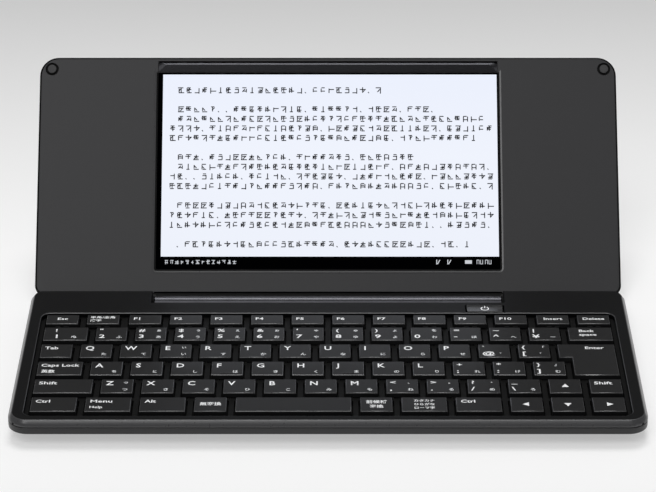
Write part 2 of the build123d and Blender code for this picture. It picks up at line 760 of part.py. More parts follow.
# ---------------------------------------------------------------- lid
def neck_profile():
    """Closed-lid (y, z) outline of the wall that joins the cover to the barrel."""
    top = lid_back_z - neck_slope_drop
    outer_low = (hinge_y + barrel_radius * sin(radians(70)), hinge_height + barrel_radius * cos(radians(70)))
    inner_low = (hinge_y - barrel_radius * sin(radians(60)), hinge_height + barrel_radius * cos(radians(60)))
    return [(lid_rear - 2.0, top), (lid_rear + 1.2, top), outer_low, inner_low,
            (lid_rear - 0.2, lid_face_z + rim_step), (lid_rear - 2.0, lid_face_z + rim_step)]


def lid_outline(inset, z0, z1):
    """Lid plate in plan: large corners at its top edge, small ones at its lower edge."""
    plate = Rectangle(case_width - 2 * inset, lid_rear - lid_front - 2 * inset)
    corners = plate.vertices().sort_by(Axis.Y)
    plate = fillet(corners[:2], corner_radius - inset)
    plate = fillet(plate.vertices().sort_by(Axis.Y)[-2:], lid_foot_radius - inset / 2)
    return extrude(Pos(0, (lid_front + lid_rear) / 2, z0) * plate, z1 - z0)


def hinge_slots(grow):
    """Cuts along both hinge leaves and the screen cable."""
    shaft_start = barrel_length / 2 - barrel_end_wall - leaf_width
    cuts = []
    for side in (-1, 1):
        x0, x1 = sorted((side * (shaft_start - grow), side * (shaft_start + leaf_width + grow)))
        cuts.append(along_x(leaf_path(leaf_thickness / 2 + grow), x0, x1))
    cuts.append(along_x(leaf_path(cable_thickness / 2 + grow), -cable_width / 2 - grow, cable_width / 2 + grow))
    return cuts


def lid_back_cover():
    """Rounded tray of the lid; its lower edge runs down to the barrel."""
    shell = lid_outline(0, lid_face_z + rim_step, lid_back_z)
    shell = fillet(shell.faces().sort_by(Axis.Z)[-1].edges(), lid_edge_round)
    half = barrel_length / 2
    shell += along_x(neck_profile(), -half, half)
    shell -= lid_outline(lid_rim - fit_gap, lid_face_z, lid_face_z + bezel_thickness)
    shell -= lid_outline(lid_wall, lid_face_z + bezel_thickness, lid_back_z - lid_wall)
    for side in (-1, 1):
        boss_x, boss_y = bumper_place(side)
        shell += faceted_post(boss_radius, boss_x, boss_y, lid_face_z + bezel_thickness, lid_back_z - lid_wall / 2)
        shell -= faceted_post(screw_radius, boss_x, boss_y, lid_face_z, lid_back_z - lid_wall)
    shell -= rod(barrel_radius, -half, half, hinge_y, hinge_height)
    for cut in hinge_slots(fit_gap):
        shell -= cut
    return opened(shell.solid())


def hinge_barrel():
    """Tube of the hinge, bored for the shafts at its ends and slotted for the leaves and the cable."""
    half = barrel_length / 2
    barrel = rod(barrel_radius, -half, half, hinge_y, hinge_height)
    barrel -= rod(barrel_bore, -half + barrel_end_wall, half - barrel_end_wall, hinge_y, hinge_height)
    barrel -= rod(shaft_radius + shaft_clearance, -half - 1, half + 1, hinge_y, hinge_height)
    for cut in hinge_slots(fit_gap):
        barrel -= cut
    return opened(barrel.solid())


def bumper_place(side):
    """Middle of a bumper in the closed lid."""
    return side * (case_width / 2 - bumper_inset), lid_front + bumper_inset


def lid_bezel():
    """Face of the lid with the screen opening, the grip's pocket and the bumpers' seats."""
    inner = lid_face_z
    bezel = lid_outline(lid_rim, inner, inner + bezel_thickness)
    half = screen_width / 2
    bezel -= block(-half, half, lid_y(screen_top), lid_y(screen_bottom), inner - 1, inner + bezel_thickness + 1)
    bezel -= block(-half, half, lid_y(grip_top), lid_y(screen_top), inner - 1, inner + grip_pocket)
    bezel -= block(-shoulder_x, shoulder_x, lid_y(lid_foot + lid_rim + bezel_foot_gap), lid_rear,
                   inner - 1, inner + bezel_thickness + 1)
    for side in (-1, 1):
        x, y = bumper_place(side)
        bezel -= post(bumper_seat_radius, x, y, inner - 1, inner + bumper_seat_depth)
        bezel -= faceted_post(screw_radius + fit_gap, x, y, inner - 1, inner + bezel_thickness + 1)
    return opened(bezel.solid())


def grip_strip():
    """Hipped strip over the screen: rises from the glass to a ridge, falls to the lid's edge."""
    half = screen_width / 2 - fit_gap
    low_y, ridge_y, edge_y = lid_y(screen_top) - fit_gap, lid_y(grip_ridge), lid_y(grip_top) + fit_gap
    base_z = lid_face_z + grip_pocket
    low_z = base_z - grip_base
    ridge_z = lid_face_z + grip_ridge_depth
    hip = low_y - ridge_y
    profile = along_x([(edge_y, base_z), (edge_y, low_z), (ridge_y, ridge_z), (low_y, low_z), (low_y, base_z)],
                      -half, half)
    ends = make_face(Polyline((-half, base_z), (-half, low_z), (-half + hip, ridge_z), (half - hip, ridge_z),
                              (half, low_z), (half, base_z), close=True))
    hipped = extrude(Plane.XZ.offset(-edge_y) * ends, edge_y - low_y)
    return opened((profile & hipped).solid())


def lcd_panel():
    """Glass of the screen behind the bezel's opening."""
    half = screen_width / 2
    y0, y1 = lid_y(screen_top), lid_y(screen_bottom)
    glass = block(-half + fit_gap, half - fit_gap, y0 + fit_gap, y1 - fit_gap, panel_z, panel_z + panel_glass)
    z0 = lid_face_z + bezel_thickness + panel_gap
    glass += block(-half - panel_overlap, half + panel_overlap, y0 - panel_overlap, y1 + panel_overlap,
                   z0, panel_z + panel_glass)
    return opened(glass.solid())


def lcd_backlight():
    """Metal tray and light guide behind the glass."""
    half = screen_width / 2 + panel_overlap
    z0 = panel_z + panel_glass
    tray = block(-half, half, lid_y(screen_top) - panel_overlap, lid_y(screen_bottom) + panel_overlap,
                 z0, z0 + tray_thickness)
    return opened(tray)


def lid_bumpers():
    """Round rubber bumpers that close over the lid screws and meet the deck."""
    pads = []
    for side in (-1, 1):
        x, y = bumper_place(side)
        pad = faceted_post(bumper_radius, x, y, lid_face_z - bumper_proud,
                           lid_face_z + bumper_seat_depth - bumper_bed, bumper_sides)
        pads.append(opened(pad).solid())
    return Compound(pads)


def lid_screws():
    """Screws under the bumpers, through the bezel into the back cover."""
    screws = []
    for side in (-1, 1):
        x, y = bumper_place(side)
        screw = faceted_post(screw_radius, x, y, lid_face_z + bumper_seat_depth, lid_back_z - lid_wall)
        screws.append(opened(screw).solid())
    return Compound(screws)


def screen_cable():
    """Flat cable from the screen down the neck into the barrel."""
    half = cable_thickness / 2
    return opened(along_x(leaf_path(half), -cable_width / 2, cable_width / 2))


def lid_magnet():
    """Magnet that tells the base when the lid is shut."""
    width, depth, height = magnet_size
    x, y = case_width / 2 - 2 * corner_radius, lid_y(lid_length / 2)
    z0 = lid_face_z + bezel_thickness
    return opened(block(x - width / 2, x + width / 2, y - depth / 2, y + depth / 2, z0, z0 + height))


# ---------------------------------------------------------------- assembly
def build():
    """Every node of the machine by name."""
    base = shelled_base()
    nodes = {
        "lower_case": lower_case(base),
        "deck_cover": deck_cover(base),
        "key_frame": key_frame(),
        "keyboard_plate": keyboard_plate(),
        "key_membrane": key_membrane(),
        "key_links": key_links(),
        "main_board": main_board(),
        "battery_pack": battery_pack(),
        "rubber_feet": rubber_feet(),
        "case_screws": case_screws(),
        "power_button": power_button(),
        "power_switch": power_switch(),
        "usb_socket": side_socket(usb_mouth, usb_length, usb_y),
        "card_socket": side_socket(card_mouth, card_length, card_y),
        "hinge_bracket_left": hinge_bracket(-1),
        "hinge_bracket_right": hinge_bracket(1),
        "hinge_leaf_left": hinge_leaf(-1),
        "hinge_leaf_right": hinge_leaf(1),
        "hinge_barrel": hinge_barrel(),
        "lid_back_cover": lid_back_cover(),
        "lid_bezel": lid_bezel(),
        "grip_strip": grip_strip(),
        "lcd_panel": lcd_panel(),
        "lcd_backlight": lcd_backlight(),
        "lid_bumpers": lid_bumpers(),
        "lid_screws": lid_screws(),
        "screen_cable": screen_cable(),
        "lid_magnet": lid_magnet(),
    }
    nodes.update(key_nodes())
    return nodes


os.makedirs("parts", exist_ok=True)
for name, shape in build().items():
    export_step(shape, f"parts/{name}.step")
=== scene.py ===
import json
import logging
import math
import random
from collections.abc import Callable
from dataclasses import dataclass
from enum import Enum
from typing import ClassVar

import bmesh
import bpy
from mathutils import Matrix, Vector


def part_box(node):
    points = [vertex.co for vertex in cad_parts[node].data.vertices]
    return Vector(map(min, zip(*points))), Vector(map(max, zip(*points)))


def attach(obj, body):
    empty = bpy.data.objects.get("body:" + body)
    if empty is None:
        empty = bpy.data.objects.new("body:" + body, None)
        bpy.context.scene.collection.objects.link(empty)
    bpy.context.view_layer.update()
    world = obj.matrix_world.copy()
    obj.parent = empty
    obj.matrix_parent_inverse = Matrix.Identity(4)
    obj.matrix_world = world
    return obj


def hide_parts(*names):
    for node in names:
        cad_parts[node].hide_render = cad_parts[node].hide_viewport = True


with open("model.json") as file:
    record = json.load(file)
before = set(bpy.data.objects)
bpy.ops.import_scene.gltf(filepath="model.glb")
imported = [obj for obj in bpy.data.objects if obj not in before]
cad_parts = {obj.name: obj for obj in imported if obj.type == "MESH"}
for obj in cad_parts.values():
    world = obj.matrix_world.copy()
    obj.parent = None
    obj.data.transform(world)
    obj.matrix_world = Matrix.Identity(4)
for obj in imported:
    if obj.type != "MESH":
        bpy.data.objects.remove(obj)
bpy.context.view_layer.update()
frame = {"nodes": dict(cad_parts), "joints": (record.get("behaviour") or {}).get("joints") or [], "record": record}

MM = 0.001
LOG = logging.getLogger("word_processor")
PointTest = Callable[[Vector], bool]
FacePick = Callable[[bmesh.types.BMFace], int]
# How far a face's normal points up: 0 on an upright face, 1 on a level one.
LEVEL = 0.8
SLOPE = (0.35, 0.97)


# ---------------------------------------------------------------- helpers
def hex_colour(code: str) -> tuple[float, float, float, float]:
    """Turn an sRGB hex value into the linear colour that shaders read.

    Args:
        code: A hash and six hex digits.

    Returns:
        Linear red, green and blue, and full opacity.
    """
    parts = [int(code[i:i + 2], 16) / 255 for i in (1, 3, 5)]
    linear = [c / 12.92 if c <= 0.04045 else ((c + 0.055) / 1.055) ** 2.4 for c in parts]
    return (*linear, 1.0)


def add_node(tree: bpy.types.NodeTree, kind: str, settings: dict | None = None,
             inputs: dict | None = None) -> bpy.types.Node:
    """Add a node, set its options and fill or link its inputs.

    Args:
        tree: The node tree of a material or the world.
        kind: The node's type.
        settings: Values for the node's own options.
        inputs: Values or sockets for its inputs, by name or number.

    Returns:
        The new node.
    """
    node = tree.nodes.new(kind)
    for name, value in (settings or {}).items():
        setattr(node, name, value)
    for key, value in (inputs or {}).items():
        if isinstance(value, bpy.types.NodeSocket):
            tree.links.new(value, node.inputs[key])
        else:
            node.inputs[key].default_value = value
    return node


def blank_material(name: str) -> bpy.types.Material:
    """Make a material that has no nodes yet.

    Args:
        name: The material's name.

    Returns:
        The material.
    """
    material = bpy.data.materials.new(name)
    material.use_nodes = True
    material.node_tree.nodes.clear()
    return material


def finish_mesh(shape: bmesh.types.BMesh, name: str, materials: list[bpy.types.Material],
                smooth_angle: float = 40.0) -> bpy.types.Object:
    """Turn a shaped bmesh into an object at the origin.

    Args:
        shape: The mesh in metres, in its place. It is freed.
        name: The object's name.
        materials: Its finishes, in the order of the faces' material numbers.
        smooth_angle: Edges that turn more than this many degrees stay sharp.

    Returns:
        The linked object.
    """
    mesh = bpy.data.meshes.new(name)
    shape.to_mesh(mesh)
    shape.free()
    mesh.shade_smooth()
    mesh.set_sharp_from_angle(angle=math.radians(smooth_angle))
    for material in materials:
        mesh.materials.append(material)
    piece = bpy.data.objects.new(name, mesh)
    bpy.context.scene.collection.objects.link(piece)
    return piece


def body_of_node(node: str) -> str:
    """Name of the CAD body that a node rides on."""
    return next(b for b, nodes in frame["record"]["behaviour"]["bodies"].items() if node in nodes)


def merged(node: str, same_place: float = 0.002, same_plane: float = 0.4) -> bmesh.types.BMesh:
    """Copy a node's loose triangles and join them into closed walls with whole flat faces.

    Args:
        node: The CAD node's name.
        same_place: Corners nearer to each other than this, in millimetres, become one.
        same_plane: Faces that turn from each other by less than this, in degrees, become one.

    Returns:
        The merged mesh, in metres.
    """
    shape = bmesh.new()
    shape.from_mesh(frame["nodes"][node].data)
    bmesh.ops.remove_doubles(shape, verts=shape.verts, dist=same_place * MM)
    bmesh.ops.dissolve_limit(shape, angle_limit=math.radians(same_plane), verts=shape.verts,
                             edges=shape.edges)
    return shape


def above(height: float) -> PointTest:
    """Make a test of whether a point lies above a height in metres."""
    return lambda point: point.z > height


def outside(node: str, wall: float) -> PointTest:
    """Make a test of whether a point lies on a node's outer walls or its underside.

    Args:
        node: The CAD node.
        wall: How far in from its sides a point still counts, in millimetres; from its underside, a quarter.

    Returns:
        The test.
    """
    low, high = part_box(node)
    side = wall * MM
    foot = side / 4
    return lambda point: (min(point.x - low.x, high.x - point.x, point.y - low.y, high.y - point.y) < side
                          or point.z - low.z < foot)


def round_edges(shape: bmesh.types.BMesh, width: float, segments: int, angle: float,
                where: PointTest | None = None) -> None:
    """Round the outward edges of a shape.

    Args:
        shape: The mesh, in metres.
        width: Width of the rounding, in millimetres.
        segments: Facets across it.
        angle: Only edges that turn more than this many degrees are rounded.
        where: Where it is given, only edges whose two ends pass this test are rounded.
    """
    sharp = [e for e in shape.edges if e.is_manifold and e.calc_face_angle_signed() > math.radians(angle)
             and (where is None or all(where(v.co) for v in e.verts))]
    bmesh.ops.bevel(shape, geom=sharp, offset=width * MM, offset_type="OFFSET", affect="EDGES",
                    segments=segments, profile=0.5, material=-1, clamp_overlap=False)


def stand_for(piece: bpy.types.Object, node: str) -> None:
    """Show a piece in a node's place, on its body, and hide the node.

    Args:
        piece: The piece.
        node: The CAD node that it stands for.
    """
    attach(piece, body_of_node(node))
    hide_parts(node)


def outer_walls(node: str, wall: float) -> FacePick:
    """Make a choice of finish: number 1 for a node's outer walls, 0 for the rest.

    Args:
        node: The CAD node.
        wall: How far in from the node's sides a wall still counts, in millimetres.

    Returns:
        The choice.
    """
    near = outside(node, wall)
    return lambda face: int(abs(face.normal.z) < LEVEL and near(face.calc_center_median()))


def faces_up(face: bmesh.types.BMFace) -> int:
    """Number 1 for a face that is nearly level and looks up, 0 for the rest."""
    return int(face.normal.z > LEVEL)


def slopes_upward(face: bmesh.types.BMFace) -> int:
    """Number 1 for a face that slopes up between level and upright, 0 for the rest."""
    return int(SLOPE[0] < face.normal.z < SLOPE[1])


def soften(node: str, name: str, materials: list[bpy.types.Material], width: float, segments: int = 2,
           angle: float = 28.0, where: PointTest | None = None, pick: FacePick | None = None) -> None:
    """Replace a CAD node with a copy whose outward edges are rounded as a mould leaves them.

    Args:
        node: The CAD node.
        name: The new piece's name.
        materials: Its finishes.
        width: Width of the rounding, in millimetres.
        segments: Facets across it.
        angle: Only edges that turn more than this many degrees are rounded.
        where: Where it is given, only edges whose two ends pass this test are rounded.
        pick: Gives the number of a face's finish, where there are several.
    """
    shape = merged(node)
    round_edges(shape, width, segments, angle, where)
    if pick:
        shape.normal_update()
        for face in shape.faces:
            face.material_index = pick(face)
    piece = finish_mesh(shape, name, materials)
    weigh = piece.modifiers.new("flat faces keep their normals", "WEIGHTED_NORMAL")
    weigh.keep_sharp = True
    stand_for(piece, node)
    LOG.info("%s stands for %s", name, node)


def dress(nodes: list[str], material: bpy.types.Material) -> None:
    """Give CAD nodes a finish.

    Args:
        nodes: The nodes' names.
        material: The finish.
    """
    for node in nodes:
        for slot in frame["nodes"][node].material_slots:
            slot.material = material


# ---------------------------------------------------------------- finishes
@dataclass(frozen=True)
class Grain:
    """Surface pattern: a grain's size along each axis and depth, in mm, and its swing of gloss and tone."""
    size: tuple[float, float, float]
    depth: float
    gloss: float
    tone: float
    detail: float = 3.0


@dataclass(frozen=True)
class Finish:
    """A material with its base values and the grain that its making leaves."""
    # Nearly all of the noise's heights lie between these two, so gloss and tone swing between them.
    VALLEY: ClassVar[float] = 0.3
    CREST: ClassVar[float] = 0.7
    COAT_ROUGHNESS: ClassVar[float] = 0.12

    name: str
    colour: str
    roughness: float
    grain: Grain
    metallic: float = 0.0
    ior: float = 1.5
    coat: float = 0.0
    specular: float = 0.5

    def make(self) -> bpy.types.Material:
        """Build the material.

        Returns:
            The material.
        """
        material = blank_material(self.name)
        tree = material.node_tree
        height = self.pattern(tree)
        shader = add_node(tree, "ShaderNodeBsdfPrincipled", inputs={
            "Base Color": self.toned(tree, height),
            "Roughness": self.glossed(tree, height),
            "Metallic": self.metallic,
            "IOR": self.ior,
            "Specular IOR Level": self.specular,
            "Coat Weight": self.coat,
            "Coat Roughness": self.COAT_ROUGHNESS,
            "Normal": self.bumped(tree, height),
        })
        add_node(tree, "ShaderNodeOutputMaterial", inputs={"Surface": shader.outputs["BSDF"]})
        return material

    def pattern(self, tree: bpy.types.NodeTree) -> bpy.types.NodeSocket:
        """Lay the grain over the surface.

        Args:
            tree: The material's nodes.

        Returns:
            The grain's height, from 0 to 1.
        """
        place = add_node(tree, "ShaderNodeTexCoord")
        scale = tuple(1 / (s * MM) for s in self.grain.size)
        mapping = add_node(tree, "ShaderNodeMapping",
                           inputs={"Vector": place.outputs["Object"], "Scale": scale})
        noise = add_node(tree, "ShaderNodeTexNoise", inputs={
            "Vector": mapping.outputs["Vector"], "Scale": 1.0, "Detail": self.grain.detail})
        return noise.outputs["Fac"]

    def toned(self, tree: bpy.types.NodeTree, height: bpy.types.NodeSocket) -> bpy.types.NodeSocket:
        """Make the base colour a little lighter on the grain's tops and darker between them.

        Args:
            tree: The material's nodes.
            height: The grain's height.

        Returns:
            The colour.
        """
        base = hex_colour(self.colour)
        ramp = add_node(tree, "ShaderNodeValToRGB", inputs={"Fac": height})
        tones = ((self.VALLEY, 1 - self.grain.tone), (self.CREST, 1 + self.grain.tone))
        for stop, (place, gain) in zip(ramp.color_ramp.elements, tones):
            stop.position = place
            stop.color = tuple(min(1.0, c * gain) for c in base[:3]) + (1.0,)
        return ramp.outputs["Color"]

    def glossed(self, tree: bpy.types.NodeTree, height: bpy.types.NodeSocket) -> bpy.types.NodeSocket:
        """Roughness that follows the grain."""
        swing = add_node(tree, "ShaderNodeMapRange", inputs={
            "Value": height, "From Min": self.VALLEY, "From Max": self.CREST,
            "To Min": self.roughness + self.grain.gloss, "To Max": self.roughness - self.grain.gloss})
        return swing.outputs["Result"]

    def bumped(self, tree: bpy.types.NodeTree, height: bpy.types.NodeSocket) -> bpy.types.NodeSocket:
        """Normal tilted by the grain's depth."""
        bump = add_node(tree, "ShaderNodeBump",
                        inputs={"Height": height, "Distance": self.grain.depth * MM, "Strength": 1.0})
        return bump.outputs["Normal"]


@dataclass(frozen=True)
class LitPage:
    """Backlit liquid crystal behind an anti-glare film: its glow changes from its bottom to its top.

    up is the direction along the lid, and low and high are the page's ends along it, in metres.
    """
    name: str
    top: str
    middle: str
    bottom: str
    up: Vector
    low: float
    high: float
    unlit: str = "#0c0c10"
    middle_at: float = 0.55

    def make(self) -> bpy.types.Material:
        """Build the material.

        Returns:
            The material.
        """
        material = blank_material(self.name)
        tree = material.node_tree
        place = add_node(tree, "ShaderNodeTexCoord")
        along = add_node(tree, "ShaderNodeVectorMath", {"operation": "DOT_PRODUCT"},
                         {0: place.outputs["Object"], 1: self.up})
        share = add_node(tree, "ShaderNodeMapRange", inputs={
            "Value": along.outputs["Value"], "From Min": self.low, "From Max": self.high})
        ramp = add_node(tree, "ShaderNodeValToRGB", inputs={"Fac": share.outputs["Result"]})
        ramp.color_ramp.elements[0].color = hex_colour(self.bottom)
        ramp.color_ramp.elements[1].color = hex_colour(self.top)
        ramp.color_ramp.elements.new(self.middle_at).color = hex_colour(self.middle)
        shader = add_node(tree, "ShaderNodeBsdfPrincipled", inputs={
            "Base Color": hex_colour(self.unlit),
            "Roughness": 0.4,
            "Specular IOR Level": 0.15,
            "Emission Color": ramp.outputs["Color"],
            "Emission Strength": 1.0,
        })
        add_node(tree, "ShaderNodeOutputMaterial", inputs={"Surface": shader.outputs["BSDF"]})
        return material


class Finishes:
    """Every material of the word processor, made once.

    Moulded, etched, painted, blasted, drawn and printed surfaces have grains under 0.1 mm wide, which would
    not show, so each of them is drawn as coarse as its numbers here say.
    """
    # Foot and height of the lit page, along the lid from the hinge axis, in millimetres.
    PAGE_FOOT: ClassVar[float] = 23.6
    PAGE_HEIGHT: ClassVar[float] = 85.5

    def __init__(self, up: Vector, hinge: Vector) -> None:
        """Make the materials.

        Args:
            up: Direction along the opened lid.
            hinge: A point on the hinge axis.
        """
        # ABS moulded against a spark-eroded tool: even satin black. Its grain is drawn 0.5 mm wide.
        self.case = Finish("moulded_abs_satin_black", "#131315", 0.38,
                           Grain((0.5, 0.5, 0.5), 0.004, 0.05, 0.08), specular=0.55).make()
        # The same ABS etched matte on the flat of the deck, so that it doesn't glare under the screen.
        self.deck = Finish("etched_abs_matte_black", "#09090a", 0.5,
                           Grain((0.5, 0.5, 0.5), 0.004, 0.05, 0.08), specular=0.09).make()
        # The same ABS on the deck's sloping rim, a dark grey line round the case: its lighter colour and high
        # gloss are a painted highlight for the light that the slope catches. The key well's rounded edge and the
        # screen lip's slope take it too.
        self.rim = Finish("abs_rim_painted_highlight", "#303032", 0.3,
                          Grain((0.8, 0.8, 0.8), 0.001, 0.03, 0.05), specular=0.75).make()
        # Painted ABS: a soft-touch coat over the bezel, smoother than the case. Its lighter colour is a painted
        # sheen for the softbox that the bezel reflects.
        self.bezel = Finish("bezel_abs_painted_sheen", "#28282a", 0.4,
                            Grain((0.4, 0.4, 0.4), 0.002, 0.03, 0.05), specular=0.27).make()
        # Laser-etched ABS keycaps: finer and flatter than the case, with a dry matte top.
        self.keycap = Finish("etched_abs_keycap_black", "#101011", 0.42,
                             Grain((0.45, 0.45, 0.45), 0.003, 0.05, 0.08), specular=0.22).make()
        # Sloping edges of the keycaps, lighter and glossier than their tops: a painted highlight that shows them
        # as thin light lines.
        self.key_edge_highlight = Finish("abs_key_edge_painted_highlight", "#2c2c2e", 0.28,
                           Grain((0.6, 0.6, 0.6), 0.001, 0.04, 0.08), specular=0.8).make()
        # Moulded web between the keys, drawn darker than the case: painted shade. The same near black is painted
        # shade in the bezel's recesses, along the lid's edge, in the barrel's end gaps and on the screen lip's
        # seat.
        self.web = Finish("abs_painted_shade_black", "#060606", 0.6,
                          Grain((0.5, 0.5, 0.5), 0.004, 0.04, 0.08), specular=0.1).make()
        # Bead-blasted and black anodised aluminium: a dark metal with a soft wide highlight.
        self.barrel = Finish("anodised_aluminium_black", "#39393c", 0.28,
                             Grain((6.0, 0.35, 0.35), 0.002, 0.04, 0.08), metallic=1.0).make()
        # Anodised aluminium strip along the screen's top edge: drawn along its length. Its dark tone is painted
        # shade on the strip's sloping faces; its level faces take the lighter barrel finish as a painted
        # highlight.
        self.strip = Finish("anodised_aluminium_strip", "#28282a", 0.28,
                            Grain((8.0, 0.3, 0.3), 0.002, 0.05, 0.07), metallic=1.0).make()
        # Polished ABS power button: smoother than the deck round it.
        self.button = Finish("polished_abs_black", "#101011", 0.22,
                             Grain((0.8, 0.8, 0.8), 0.0008, 0.03, 0.05), specular=0.4).make()
        # Pad-printed ink: matte white that stands a few hundredths of a millimetre proud.
        self.ink = Finish("pad_printed_ink_white", "#f6f7f8", 0.6,
                          Grain((0.25, 0.25, 0.25), 0.002, 0.05, 0.05)).make()
        # The same ink as it looks on the fine strokes of the kana: pale grey.
        self.ink_thin = Finish("pad_printed_ink_pale_grey", "#e6e8ea", 0.6,
                               Grain((0.25, 0.25, 0.25), 0.002, 0.05, 0.06)).make()
        # Silicone rubber feet and bumpers: dull, with a dusty bloom. Their grey, lighter than the case, is partly
        # a painted highlight on the raised bumpers.
        self.rubber = Finish("silicone_rubber_black", "#343435", 0.66,
                             Grain((0.6, 0.6, 0.6), 0.006, 0.06, 0.15)).make()
        # Zinc-plated spring steel: bright grey with rolling lines along its length.
        self.steel = Finish("zinc_plated_steel", "#a9abae", 0.32,
                            Grain((9.0, 0.4, 0.4), 0.001, 0.08, 0.08), metallic=1.0).make()
        # Blackened spring steel of the hinge: dark metal with a thin oil sheen.
        self.dark_steel = Finish("blackened_steel", "#2b2c2e", 0.38,
                                 Grain((4.0, 0.4, 0.4), 0.001, 0.06, 0.1), metallic=1.0).make()
        # Acetal key links: waxy natural white.
        self.acetal = Finish("acetal_natural", "#d5d4cc", 0.45,
                             Grain((2.0, 2.0, 2.0), 0.001, 0.04, 0.03)).make()
        # Solder mask over a glass-fibre board: green lacquer with the weave just showing.
        self.board = Finish("solder_mask_green", "#1c5a34", 0.35,
                            Grain((1.2, 0.6, 0.6), 0.01, 0.06, 0.15), coat=0.3).make()
        # Aluminium pouch foil of the battery: bright, with soft wrinkles a few millimetres apart.
        self.foil = Finish("pouch_foil_aluminium", "#b7b9bc", 0.3,
                           Grain((5.0, 5.0, 5.0), 0.12, 0.06, 0.05), metallic=1.0).make()
        # Polyimide film cable: glossy amber over copper tracks that run along it.
        self.film = Finish("polyimide_film_amber", "#7a3d10", 0.25,
                           Grain((0.5, 20.0, 20.0), 0.004, 0.04, 0.25), coat=0.4).make()
        # White reflector tray of the backlight: even matte white.
        self.tray = Finish("polycarbonate_white", "#e3e3e0", 0.4,
                           Grain((1.0, 1.0, 1.0), 0.001, 0.04, 0.02)).make()
        # Glass with a black mask printed behind it: deep black with an anti-glare etch.
        self.mask = Finish("anti_glare_glass_masked", "#020203", 0.4,
                           Grain((0.3, 0.3, 0.3), 0.0005, 0.03, 0.05), ior=1.52, specular=0.0).make()
        # Dark cells of the liquid crystal: near black behind the same film.
        self.dark_mark = Finish("liquid_crystal_dark", "#101116", 0.4,
                                Grain((0.3, 0.3, 0.3), 0.0002, 0.02, 0.05), specular=0.1).make()
        # Lit cells of the page: near white, a little bluer to the top.
        low = up.dot(hinge) + self.PAGE_FOOT * MM
        high = low + self.PAGE_HEIGHT * MM
        self.page = LitPage("liquid_crystal_lit", "#e9eefb", "#edf1fb", "#ebeff9", up, low, high).make()
        # Lit cells of the status line: an even pale grey.
        grey = "#c9ccd2"
        self.lit_mark = LitPage("liquid_crystal_lit_mark", grey, grey, grey, up, low, high).make()


# ---------------------------------------------------------------- printed words
class Align(Enum):
    """Where a word's anchor stands in it."""
    LEFT = "LEFT"
    CENTRE = "CENTER"
    RIGHT = "RIGHT"


@dataclass(frozen=True)
class Mark:
    """A printed word: its anchor's place from the left and rear edges of the surface and its size, in mm.

    A thin one is printed in the pale grey ink, and stretch makes a word wider than its type.
    """
    words: str
    x: float
    y: float
    em: float
    align: Align = Align.LEFT
    thin: bool = False
    stretch: float = 1.0


@dataclass(frozen=True)
class Lettering:
    """Prints words as thin raised ink.

    The film stands that high in mm over the surface and reaches down into it by sunk. The centres are the
    middle of a letter and of a kana over the base line, and bold is how much fatter a stroke gets on each
    side, all three in parts of the type's size. Kana and kanji have codes above kana_after.
    """
    film: float = 0.02
    sunk: float = 0.005
    cap_centre: float = 0.345
    kana_centre: float = 0.38
    bold: float = 0.015
    kana_after: int = 0x2fff

    def print_word(self, shape: bmesh.types.BMesh, mark: Mark, place: Matrix) -> None:
        """Add one word to a shape.

        Args:
            shape: The mesh that gathers the words, in metres.
            mark: The word, its place and its size.
            place: Turns the surface's own millimetres into metres in place.
        """
        text = bpy.data.curves.new("word", "FONT")
        text.body = mark.words
        text.size = mark.em
        text.align_x = mark.align.value
        text.resolution_u = 2
        text.extrude = (self.film + self.sunk) / 2
        text.offset = self.bold * mark.em
        holder = bpy.data.objects.new("word", text)
        bpy.context.scene.collection.objects.link(holder)
        graph = bpy.context.evaluated_depsgraph_get()
        mesh = bpy.data.meshes.new_from_object(holder.evaluated_get(graph))
        bpy.data.objects.remove(holder)
        bpy.data.curves.remove(text)
        centre = self.kana_centre if ord(mark.words[0]) > self.kana_after else self.cap_centre
        lift = (self.film - self.sunk) / 2
        spot = Matrix.Translation((mark.x, -mark.y - centre * mark.em, lift))
        mesh.transform(place @ spot @ Matrix.Diagonal((mark.stretch, 1, 1, 1)))
        for face in mesh.polygons:
            face.material_index = int(mark.thin)
        shape.from_mesh(mesh)
        bpy.data.meshes.remove(mesh)


# ---------------------------------------------------------------- keyboard
@dataclass(frozen=True)
class KeyTop:
    """Top of one key cap in metres: its left and rear edges, size and height."""
    left: float
    rear: float
    width: float
    depth: float
    height: float

    def place(self) -> Matrix:
        """Turns millimetres from the left and rear edges into metres in place."""
        return Matrix.Translation((self.left, self.rear, self.height)) @ Matrix.Scale(MM, 4)


